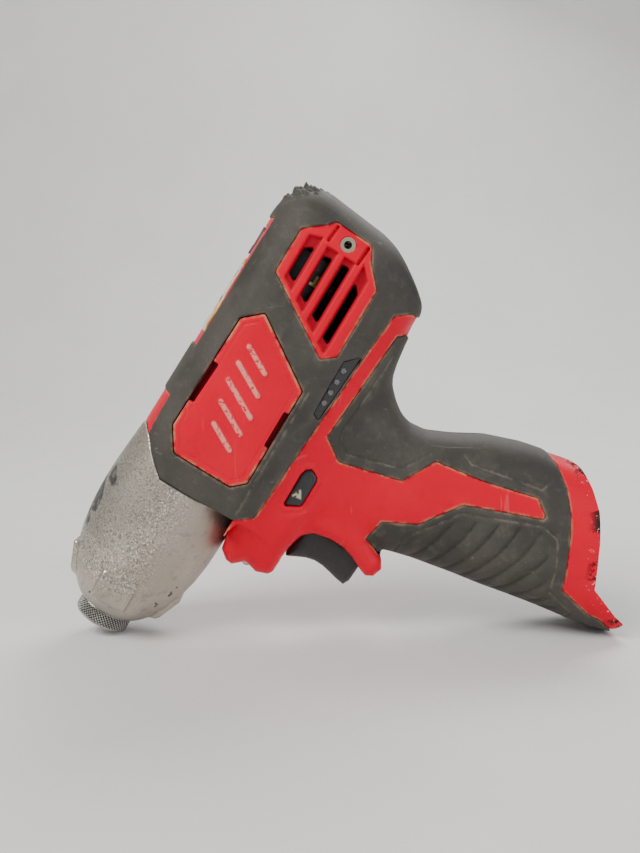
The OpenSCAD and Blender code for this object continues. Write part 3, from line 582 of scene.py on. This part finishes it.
# ---------------------------------------------------------------- gearcase
CASE = [(6, 6), (6, 10.7), (6.6, 11.7), (8, 13.1), (10, 14.8), (13, 16.6), (17, 18.5),
        (22, 20.2), (28, 21.6), (35, 22.5), (42, 22.8), (69, 22.8), (69, 6)]


def gearcase(x, y, z):
    r = np.sqrt(y * y + z * z)
    f = poly(CASE, x, r, 0.5)
    f = smax(f, z - (23.2 - 0.1208 * (x - 46)), 0.8)
    under = [(-20, 60), (-20, -60), (57.75, -60)]
    under += [(a - 0.15, b) for a, b in FRONT[::-1]] + [(68.45, 60)]
    f = smax(f, poly(under, x, z) + 0 * y, 0.5)
    f = np.minimum(f, rod(x, y, z, 50, 70, 18.7))
    for u, v in ((y, z), (z, y)):
        pad = poly([(10.6, 8), (10.9, 16.2), (12.2, 17.4), (20.6, 20.8), (21.6, 19), (21.6, 8)],
                   x, np.abs(v), 0.6)
        f = smin(f, smax(pad, np.abs(u) - 6.2, 1.2), 1.1)
    f = smax(f, -rod(x, y, z, 0, 12.6, 9.9), 0.4)
    f = np.maximum(f, -rod(x, y, z, 5, 26, 8))
    return np.maximum(f, -rod(x, y, z, 25.7, 80, 17.2))


CASE_OB, p = place("gearcase_shell", gearcase, (5, -24, -24), (71, 24, 24), "gearcase",
                   "housing", CELL * 0.9)
x, y, z = p.T
scuffs = [[(51.5, 21), (46.9, 16.6), (45.4, 18.6), (46.2, 21.4)],
          [(46.2, 22.4), (40.4, 19.4), (34.9, 18.8), (33.2, 20.8), (37.9, 22.6)],
          [(34.4, 21.6), (30.6, 19), (29, 19.6), (32, 21.8)]]
scuff = np.minimum.reduce([poly(q, x, z) for q in scuffs])
attribute(CASE_OB, "patch", ease(0.5, -0.3, scuff) * ease(1, -1, y))
attribute(CASE_OB, "grain", ease(-13, 0, z) * ease(12, 19, x))
attribute(CASE_OB, "nose", ease(12, 7, x))

# ---------------------------------------------------------------- collet sleeve
sections = [(0, 6.5, 0), (0, 8.4, 0), (0.15, 8.75, 0), (0.5, 9.15, 0), (0.85, 9.4, 1)]
sections += [(0.85 + 4.3 * k / 60, 9.42, 1) for k in range(1, 61)]
sections += [(5.3, 9.35, 0), (5.75, 9.1, 0), (9.3, 9.1, 0), (9.4, 9.0, 0), (9.4, 7.6, 0),
             (8.8, 7.6, 0), (8.8, 6.13, 0), (6.0, 6.13, 0), (6.0, 7.9, 0), (0.6, 7.9, 0)]
NA = 480
ang = np.arange(NA) * 2 * math.pi / NA
rows, grooves = [], []
for sx, sr, knurl in sections:
    c = 52 * ang / (2 * math.pi)
    q = sx / 1.14
    h = np.minimum(np.abs((c + q) % 1 - 0.5), np.abs((c - q) % 1 - 0.5)) * 2
    edge = ease(0.85, 1.2, sx) * ease(5.2, 4.9, sx)
    rr = sr + (0.08 - 0.34 * (1 - np.minimum(h * 1.9, 1))) * knurl * edge
    rows.append(np.stack([np.full(NA, sx), rr * np.cos(ang), rr * np.sin(ang)], 1))
    # painted shade: the knurl valleys are marked here to be painted near black
    grooves.append(ease(0.75, 0.25, h * 1.9) * knurl * edge)
pts, grooves = np.concatenate(rows), np.concatenate(grooves)
ns = len(sections)
i, j = np.meshgrid(np.arange(ns), np.arange(NA), indexing="ij")
i2, j2 = (i + 1) % ns, (j + 1) % NA
quads = np.stack([i * NA + j, i2 * NA + j, i2 * NA + j2, i * NA + j2], -1).reshape(-1, 4)
SLEEVE = mesh("collet_knurled", pts, quads[:, ::-1])
attribute(SLEEVE, "groove", grooves)
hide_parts("collet_sleeve")
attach(SLEEVE, "sleeve")

# ---------------------------------------------------------------- coil springs
def spring(name, x0, x1, radius, wire, z0, turns):
    """A coil from x0 to x1 along the tool axis, at height z0."""
    t = np.linspace(0, 1, 24 * turns + 1)
    a = 2 * math.pi * turns * t
    out = np.stack([0 * a, np.cos(a), np.sin(a)], 1)
    c = out * radius + np.stack([x0 + (x1 - x0) * t, 0 * a, 0 * a + z0], 1)
    way = np.gradient(c, axis=0)
    side = np.cross(way / np.linalg.norm(way, axis=1)[:, None], out)
    b = 2 * math.pi * np.arange(8) / 8
    cos_b, sin_b = np.cos(b)[:, None], np.sin(b)[:, None]
    pts = c[:, None] + wire * (cos_b * out[:, None] + sin_b * side[:, None])
    i, j = np.meshgrid(np.arange(len(t) - 1), np.arange(8), indexing="ij")
    k = (j + 1) % 8
    quads = np.stack([i * 8 + j, i * 8 + k, i * 8 + 8 + k, i * 8 + 8 + j], -1).reshape(-1, 4)
    cap = np.array([(0, 1, 2, 3), (0, 3, 4, 7), (4, 5, 6, 7)])
    quads = np.concatenate([quads, cap[:, ::-1], cap + 8 * (len(t) - 1)])
    ob = mesh(name, pts.reshape(-1, 3), quads)
    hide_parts(name.replace("_coil", ""))
    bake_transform(ob)
    return ob


SPRINGS = [
    spring("collet_spring_coil", 2.3, 5.7, 7.0, 0.28, 0.0, 3),
    spring("hammer_spring_coil", 41.8, 56.6, 12.0, 1.1, 0.0, 4),
    spring("trigger_spring_coil", 68.9, 78.0, 4.4, 0.45, -55.0, 4),
]

# ---------------------------------------------------------------- trigger and shuttle
TRIGGER = [(52.8, -43.6), (54.2, -46.4), (55.6, -49.4), (56.3, -52.4), (56.2, -55.6),
           (55.5, -58.8), (54.7, -62), (54.2, -65), (56.6, -66.2), (62.6, -66.5),
           (68.4, -66.4), (68.4, -42.9), (53, -42.9)]


def trigger(x, y, z):
    f = smax(poly(TRIGGER, x, z, 0.4), np.abs(y) - 7.6, 4)
    return np.minimum(f, rod(x, y, z + 55, 68, 77, 3.2))


TRIGGER_OB, p = place("trigger_lever", trigger, (50, -9, -68), (78, 9, -41), "trigger",
                      "trigger", 0.45)


def shuttle(x, y, z):
    inner = np.abs(y) < 12.5
    f = smax(pill(x, z, 0) + 0.5 * inner, np.abs(y) - 19.2, 1.0)
    f = f - 0.3 * ease(0.2, -0.2, poly(ARROW, x, z)) * (np.abs(y) > 17)
    return np.minimum(f, brick(x, y, z, (76.6, -2, -44.5), (78.8, 2, -35.5)))


SHUTTLE_OB, p = place("direction_button", shuttle, (69, -20.5, -45.5), (87, 20.5, -30),
                      "direction_shuttle", "shuttle", 0.4)
x, y, z = p.T
attribute(SHUTTLE_OB, "mark", ease(0.3, 0, poly(ARROW, x, z)) * ease(18.6, 19, np.abs(y)))

# ---------------------------------------------------------------- torn label on the spine
def label_height(x, y):
    """Height of the red spine surface, found by halving."""
    lo, hi = np.full(x.shape, 12.0), np.full(x.shape, 23.0)
    for _ in range(24):
        mid = (lo + hi) / 2
        out = outer_f(x, y, mid) + STEP > 0
        lo, hi = np.where(out, lo, mid), np.where(out, mid, hi)
    return lo


step = 0.35
gx, gy = np.meshgrid(np.arange(104.5, 131.6, step), np.arange(-13.4, 13.41, step),
                     indexing="ij")
top = label_height(gx, gy)
ragged = noise(gx, gy, 0 * gx, 4.5) * 0.6 + noise(gx, gy, 0 * gx + 9, 1.6) * 0.4
border = np.minimum(np.minimum(gx - 104.5, 131.5 - gx), 13.4 - np.abs(gy))
keep = (ragged + 0.12 * np.minimum(border, 2)) > 0.56
solid = keep[:-1, :-1] & keep[1:, :-1] & keep[:-1, 1:] & keep[1:, 1:]
bm = bmesh.new()
grid = {}
for i, j in zip(*np.nonzero(solid)):
    ring = []
    for a, b in ((i, j), (i + 1, j), (i + 1, j + 1), (i, j + 1)):
        if (a, b) not in grid:
            curl = 0.05 + 0.12 * (ragged[a, b] - 0.5)
            place_at = np.array([gx[a, b], gy[a, b], top[a, b] + curl])
            grid[(a, b)] = bm.verts.new(to_row(place_at))
        ring.append(grid[(a, b)])
    bm.faces.new(ring)
me = bpy.data.meshes.new("torn_label")
bm.to_mesh(me)
bm.free()
LABEL = bpy.data.objects.new("torn_label", me)
bpy.context.scene.collection.objects.link(LABEL)
thick = LABEL.modifiers.new("thick", "SOLIDIFY")
thick.thickness = 0.00018
thick.offset = 1
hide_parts("top_label")
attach(LABEL, "housing")


# ---------------------------------------------------------------- materials
class Mat:
    """A procedural material: a base, then noise-driven layers over it."""

    def __init__(self, name, color, rough, metal=0.0, spec=0.5):
        self.m = bpy.data.materials.new(name)
        self.m.use_nodes = True
        self.t = self.m.node_tree
        self.b = self.t.nodes["Principled BSDF"]
        self.b.inputs["Metallic"].default_value = metal
        self.b.inputs["Specular IOR Level"].default_value = spec
        self.co = self.node("ShaderNodeTexCoord").outputs["Object"]
        self.color = self.rgb(color)
        self.rough = self.value(rough)
        self.height = None

    def node(self, kind, **props):
        n = self.t.nodes.new(kind)
        for k, v in props.items():
            setattr(n, k, v)
        return n

    def link(self, a, b):
        self.t.links.new(a, b)

    def rgb(self, c):
        n = self.node("ShaderNodeRGB")
        n.outputs[0].default_value = (*c, 1)
        return n.outputs[0]

    def value(self, v):
        n = self.node("ShaderNodeValue")
        n.outputs[0].default_value = v
        return n.outputs[0]

    def noise(self, scale, detail=4, rough=0.6, stretch=None, distort=0.0):
        n = self.node("ShaderNodeTexNoise")
        n.inputs["Scale"].default_value = scale
        n.inputs["Detail"].default_value = detail
        n.inputs["Roughness"].default_value = rough
        n.inputs["Distortion"].default_value = distort
        co = self.co
        if stretch:
            m = self.node("ShaderNodeMapping")
            m.inputs["Rotation"].default_value = (0, PITCH, 0)
            m.inputs["Scale"].default_value = stretch
            self.link(co, m.inputs["Vector"])
            co = m.outputs[0]
        self.link(co, n.inputs["Vector"])
        return n.outputs["Fac"]

    def ramp(self, src, lo, hi):
        n = self.node("ShaderNodeMapRange", clamp=True, interpolation_type="SMOOTHSTEP")
        n.inputs["From Min"].default_value = lo
        n.inputs["From Max"].default_value = hi
        self.link(src, n.inputs["Value"])
        return n.outputs["Result"]

    def math(self, op, a, b):
        n = self.node("ShaderNodeMath", operation=op)
        for k, v in ((0, a), (1, b)):
            if isinstance(v, (int, float)):
                n.inputs[k].default_value = v
            else:
                self.link(v, n.inputs[k])
        return n.outputs[0]

    def both(self, a, b):
        return self.math("MULTIPLY", a, b)

    def attr(self, name):
        return self.node("ShaderNodeAttribute", attribute_name=name).outputs["Fac"]

    def over(self, mask, color=None, rough=None, amount=1.0):
        """Lay a colour and a roughness over what is there, where mask is high."""
        if amount != 1.0:
            mask = self.math("MULTIPLY", mask, amount)
        if color is not None:
            n = self.node("ShaderNodeMix", data_type="RGBA")
            self.link(mask, n.inputs[0])
            self.link(self.color, n.inputs[6])
            n.inputs[7].default_value = (*color, 1)
            self.color = n.outputs[2]
        if rough is not None:
            n = self.node("ShaderNodeMix", data_type="FLOAT")
            self.link(mask, n.inputs[0])
            self.link(self.rough, n.inputs[2])
            n.inputs[3].default_value = rough
            self.rough = n.outputs[0]
        return self

    def bump(self, src, mm):
        h = self.math("MULTIPLY", src, mm / 1000)
        self.height = h if self.height is None else self.math("ADD", self.height, h)
        return self

    def done(self):
        self.link(self.color, self.b.inputs["Base Color"])
        self.link(self.rough, self.b.inputs["Roughness"])
        if self.height is not None:
            n = self.node("ShaderNodeBump")
            n.inputs["Strength"].default_value = 1.0
            n.inputs["Distance"].default_value = 1.0
            self.link(self.height, n.inputs["Height"])
            self.link(n.outputs[0], self.b.inputs["Normal"])
        return self.m


def red_material():
    m = Mat("red_plastic", (0.7, 0, 0.024), 0.4, 0, 0.12)
    big, mid, fine = m.noise(45, 5), m.noise(220, 5), m.noise(900, 4)
    m.over(m.ramp(big, 0.4, 0.7), (0.78, 0.001, 0.03), 0.34, 0.7)
    m.over(m.ramp(mid, 0.56, 0.75), (0.6, 0, 0.018), 0.48, 0.4)
    scratch = m.ramp(m.noise(260, 3, 0.5, (1, 1, 0.06), 0.3), 0.68, 0.74)
    m.over(scratch, (0.86, 0.2, 0.16), 0.55, 0.22)
    cross = m.ramp(m.noise(300, 3, 0.5, (0.07, 1, 1), 0.4), 0.69, 0.74)
    m.over(cross, (0.8, 0.17, 0.14), 0.55, 0.2)
    edge = m.attr("edge")
    m.over(m.both(edge, m.ramp(mid, 0.38, 0.6)), (0.62, 0.33, 0.17), 0.7, 0.8)
    worn = m.both(m.attr("worn"), m.ramp(m.noise(700, 3), 0.36, 0.48))
    m.over(worn, (0.88, 0.36, 0.3), 0.6, 0.75)
    grime = m.both(edge, m.ramp(m.noise(400, 4), 0.54, 0.66))
    m.over(grime, (0.06, 0.035, 0.03), 0.8, 0.7)
    chip = m.both(m.attr("chip"), m.ramp(m.noise(120, 6, 0.7), 0.525, 0.55))
    m.over(chip, (0.03, 0.022, 0.02), 0.85)
    fleck = m.both(m.attr("chip"), m.ramp(m.noise(900, 3), 0.64, 0.68))
    m.over(fleck, (0.86, 0.55, 0.5), 0.7)
    # painted shade: red surfaces deep under the outer skin are darkened towards near black
    m.over(m.attr("recess_shade"), (0.05, 0.003, 0.005), 0.6, 0.9)
    m.bump(fine, 0.05).bump(mid, 0.05).bump(chip, -0.3).bump(scratch, -0.05)
    return m.done()


def rubber_material():
    m = Mat("black_rubber", (0.036, 0.033, 0.028), 0.62, 0, 0.4)
    big, mid, fine = m.noise(38, 6), m.noise(240, 5), m.noise(1500, 4)
    m.over(m.ramp(big, 0.35, 0.7), (0.078, 0.07, 0.058), 0.74, 0.8)
    m.over(m.ramp(mid, 0.5, 0.72), (0.1, 0.09, 0.074), 0.8, 0.45)
    dust = m.ramp(m.noise(1100, 3), 0.62, 0.72)
    m.over(m.both(dust, m.ramp(big, 0.45, 0.6)), (0.17, 0.155, 0.13), 0.9, 0.5)
    scratch = m.ramp(m.noise(300, 3, 0.5, (0.08, 1, 1), 0.4), 0.68, 0.73)
    m.over(scratch, (0.16, 0.15, 0.135), 0.8, 0.5)
    m.over(m.both(m.attr("edge"), m.ramp(mid, 0.4, 0.62)), (0.3, 0.2, 0.13), 0.85, 0.5)
    m.over(m.both(m.attr("line"), m.ramp(mid, 0.4, 0.62)), (0.26, 0.22, 0.17), 0.85, 0.4)
    m.bump(fine, 0.06).bump(mid, 0.07).bump(scratch, -0.06)
    return m.done()


def cast_material():
    m = Mat("cast_aluminium", (0.43, 0.385, 0.325), 0.42, 0.8)
    big, mid, fine = m.noise(60, 5), m.noise(330, 5), m.noise(1300, 4)
    m.over(m.ramp(big, 0.4, 0.68), (0.52, 0.475, 0.405), 0.36, 0.8)
    m.over(m.ramp(mid, 0.55, 0.68), (0.3, 0.285, 0.27), 0.55, 0.6)
    grain = m.attr("grain")
    m.over(m.both(m.ramp(fine, 0.5, 0.62), grain), (0.17, 0.15, 0.12), 0.6, 0.75)
    m.over(m.both(m.ramp(m.noise(1700, 2), 0.56, 0.66), grain), (0.98, 0.92, 0.8), 0.2, 0.8)
    nick = m.ramp(m.noise(210, 2, 0.5), 0.73, 0.76)
    m.over(nick, (0.09, 0.08, 0.075), 0.7, 0.9)
    m.over(m.attr("nose"), (0.25, 0.235, 0.22), 0.5, 0.4)
    m.over(m.both(m.attr("patch"), m.ramp(mid, 0.3, 0.5)), (0.07, 0.07, 0.075), 0.5, 0.9)
    m.bump(big, 0.35).bump(mid, 0.12).bump(fine, 0.1).bump(nick, -0.15)
    return m.done()


def metal_material(name, color, rough, dark=0.45, scale=300, spots=(0.09, 0.07, 0.055)):
    m = Mat(name, color, rough, 1.0)
    mid, fine = m.noise(scale, 5), m.noise(scale * 5, 4)
    m.over(m.ramp(mid, 0.45, 0.7), tuple(c * dark for c in color), min(rough + 0.2, 1), 0.7)
    m.over(m.ramp(m.noise(scale * 2, 4), 0.64, 0.7), spots, 0.75, 0.7)
    m.bump(fine, 0.02).bump(mid, 0.03)
    return m.done()


def knurl_material():
    m = Mat("knurled_steel", (0.4, 0.385, 0.36), 0.34, 1.0)
    mid, fine = m.noise(500, 5), m.noise(1800, 4)
    m.over(m.ramp(mid, 0.5, 0.7), (0.24, 0.225, 0.205), 0.45, 0.7)
    # painted shade in the knurl valleys, near black
    m.over(m.attr("groove"), (0.012, 0.01, 0.009), 0.8)
    m.bump(fine, 0.03).bump(mid, 0.03)
    return m.done()


def plastic_material(name, color, rough, pale=1.6, scale=300):
    m = Mat(name, color, rough)
    mid, fine = m.noise(scale, 5), m.noise(scale * 5, 4)
    paler = tuple(min(1, c * pale) for c in color)
    scuffed = tuple(min(1, c * 2.2 + 0.02) for c in color)
    m.over(m.ramp(mid, 0.45, 0.7), paler, min(rough + 0.15, 1), 0.7)
    m.over(m.ramp(m.noise(scale * 2, 4), 0.64, 0.7), scuffed, 0.8, 0.4)
    m.bump(fine, 0.03).bump(mid, 0.04)
    return m.done()


def button_material():
    m = Mat("button_plastic", (0.02, 0.02, 0.021), 0.42)
    mid = m.noise(300, 5)
    m.over(m.ramp(mid, 0.45, 0.7), (0.034, 0.033, 0.034), 0.58, 0.7)
    m.over(m.both(m.attr("mark"), m.ramp(m.noise(900, 3), 0.35, 0.5)), (0.5, 0.46, 0.34), 0.7)
    m.bump(m.noise(1500, 4), 0.03).bump(mid, 0.04)
    return m.done()


def label_material():
    m = Mat("label", (0.72, 0.42, 0.09), 0.5)
    m.over(m.ramp(m.noise(140, 2, 0.4), 0.5, 0.53), (0.7, 0.66, 0.55), 0.6)
    m.over(m.ramp(m.noise(170, 3, 0.5), 0.6, 0.63), (0.09, 0.09, 0.08), 0.7)
    m.over(m.ramp(m.noise(500, 4), 0.6, 0.7), (0.35, 0.2, 0.08), 0.8, 0.8)
    m.bump(m.noise(700, 4), 0.08)
    return m.done()


def lens_material(name, color):
    m = Mat(name, color, 0.12)
    mid = m.noise(500, 4)
    m.over(m.ramp(mid, 0.5, 0.7), tuple(c * 0.7 for c in color), 0.3, 0.6)
    m.b.inputs["Transmission Weight"].default_value = 0.6
    m.bump(mid, 0.02)
    return m.done()


KIT = {
    "red": red_material(), "rubber": rubber_material(), "cast": cast_material(),
    "steel": metal_material("steel", (0.55, 0.54, 0.52), 0.32),
    "dark_steel": metal_material("dark_steel", (0.16, 0.155, 0.15), 0.38, 0.5),
    "spring_steel": metal_material("spring_steel", (0.3, 0.3, 0.31), 0.3),
    "bronze": metal_material("bronze", (0.55, 0.33, 0.15), 0.4),
    "copper": metal_material("copper", (0.78, 0.34, 0.16), 0.35),
    "brass": metal_material("brass", (0.72, 0.52, 0.22), 0.35),
    "black_plastic": plastic_material("black_plastic", (0.02, 0.02, 0.021), 0.45),
    "magnet": plastic_material("magnet", (0.045, 0.043, 0.045), 0.6),
    "label": label_material(),
    "clear_lens": lens_material("clear_lens", (0.75, 0.77, 0.78)),
    "smoked_lens": lens_material("smoked_lens", (0.3, 0.3, 0.31)),
    "pale_brass": metal_material("pale_brass", (0.78, 0.7, 0.5), 0.3, 0.6),
    "circuit_board": plastic_material("circuit_board", (0.01, 0.09, 0.035), 0.4),
    "wire_jacket": plastic_material("wire_jacket", (0.3, 0.012, 0.012), 0.45),
}
USES = {
    "rubber": [], "cast": ["gearcase"],
    "steel": ["anvil", "collet_washer", "bit_balls", "hammer_spring", "spring_washer",
              "thrust_balls", "cam_balls", "planet_pins", "planet_gear_1", "planet_gear_2",
              "planet_gear_3", "front_bearing", "rear_bearing", "rotor_shaft", "pinion",
              "housing_screws"],
    "pale_brass": ["side_inserts"],
    "dark_steel": ["hammer", "planet_carrier", "ring_gear", "gear_plate", "rotor_core",
                   "collet_sleeve"],
    "spring_steel": ["collet_spring", "retaining_ring", "trigger_spring", "motor_can"],
    "bronze": ["nose_bushing"], "copper": ["windings", "commutator"],
    "brass": ["battery_contacts", "brushes"],
    "black_plastic": ["gearcase_seal", "anvil_oring", "motor_fan", "switch_body", "trigger",
                      "direction_shuttle", "terminal_block", "brush_holder"],
    "magnet": ["magnets"], "label": ["top_label"],
    "clear_lens": ["work_light"], "smoked_lens": ["gauge_leds"],
    "circuit_board": ["gauge_board"], "wire_jacket": ["leads"],
}


def wear(ob, material):
    ob.data.materials.clear()
    ob.data.materials.append(material)


for kind, nodes in USES.items():
    for node in nodes:
        wear(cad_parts[node], KIT[kind])
wear(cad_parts["gauge_panel"], KIT["black_plastic"])
for ob in RED:
    wear(ob, KIT["red"])
for ob in RUBBER:
    wear(ob, KIT["rubber"])
for ob in SPRINGS:
    wear(ob, KIT["spring_steel"])
wear(CASE_OB, KIT["cast"])
wear(SLEEVE, knurl_material())
wear(TRIGGER_OB, KIT["black_plastic"])
wear(SHUTTLE_OB, button_material())
wear(LABEL, KIT["label"])

# ---------------------------------------------------------------- floor, light, camera
bm = bmesh.new()
FLOOR_HALF, FLOOR_FRONT, WALL_TOP, BEND = 2.6, -2.4, 2.4, 0.35
profile = [(FLOOR_FRONT, 0)] + [(0.55 + BEND * math.sin(a), BEND - BEND * math.cos(a))
                                for a in np.linspace(0, math.pi / 2, 16)] + [(0.9, WALL_TOP)]
left, right = ([bm.verts.new((sx, py, pz)) for py, pz in profile]
               for sx in (-FLOOR_HALF, FLOOR_HALF))
for a in range(len(profile) - 1):
    bm.faces.new((left[a], right[a], right[a + 1], left[a + 1]))
me = bpy.data.meshes.new("sweep")
bm.to_mesh(me)
bm.free()
me.polygons.foreach_set("use_smooth", np.ones(len(me.polygons), bool))
FLOOR = bpy.data.objects.new("floor_sweep", me)
bpy.context.scene.collection.objects.link(FLOOR)
m = Mat("floor_paper", (0.78, 0.775, 0.76), 0.75)
m.over(m.ramp(m.noise(9, 4), 0.4, 0.65), (0.74, 0.735, 0.72), 0.8, 0.6)
m.bump(m.noise(900, 3), 0.04)
wear(FLOOR, m.done())


def area_light(name, loc, target, size, power, color):
    d = bpy.data.lights.new(name, "AREA")
    d.shape = "RECTANGLE"
    d.size, d.size_y = size
    d.energy = power
    d.color = color
    ob = bpy.data.objects.new(name, d)
    ob.location = loc
    ob.rotation_euler = (Vector(target) - Vector(loc)).to_track_quat("-Z", "Y").to_euler()
    bpy.context.scene.collection.objects.link(ob)


area_light("key", (-0.55, -0.5, 0.85), (0, 0, 0.07), (0.7, 0.5), 11, (1, 0.97, 0.92))
area_light("fill", (0.8, -0.7, 0.4), (0, 0, 0.06), (0.9, 0.7), 5, (0.93, 0.96, 1))
area_light("rim", (0.25, 0.6, 0.75), (0, 0, 0.08), (0.6, 0.4), 6, (1, 1, 1))
world = bpy.data.worlds.new("studio")
bpy.context.scene.world = world
world.use_nodes = True
world.node_tree.nodes["Background"].inputs["Color"].default_value = (0.85, 0.87, 0.9, 1)
world.node_tree.nodes["Background"].inputs["Strength"].default_value = 0.35

cam = bpy.data.cameras.new("camera")
cam.lens = 42.2
cam.sensor_width = 36
cam.clip_start = 0.01
CAM = bpy.data.objects.new("camera", cam)
bpy.context.scene.collection.objects.link(CAM)
look = Matrix.Rotation(math.radians(84), 4, "X") @ Matrix.Rotation(math.radians(-0.6), 4, "Z")
CAM.matrix_world = Matrix.Translation((-0.00739, -0.3374, 0.10565)) @ look
bpy.context.scene.camera = CAM
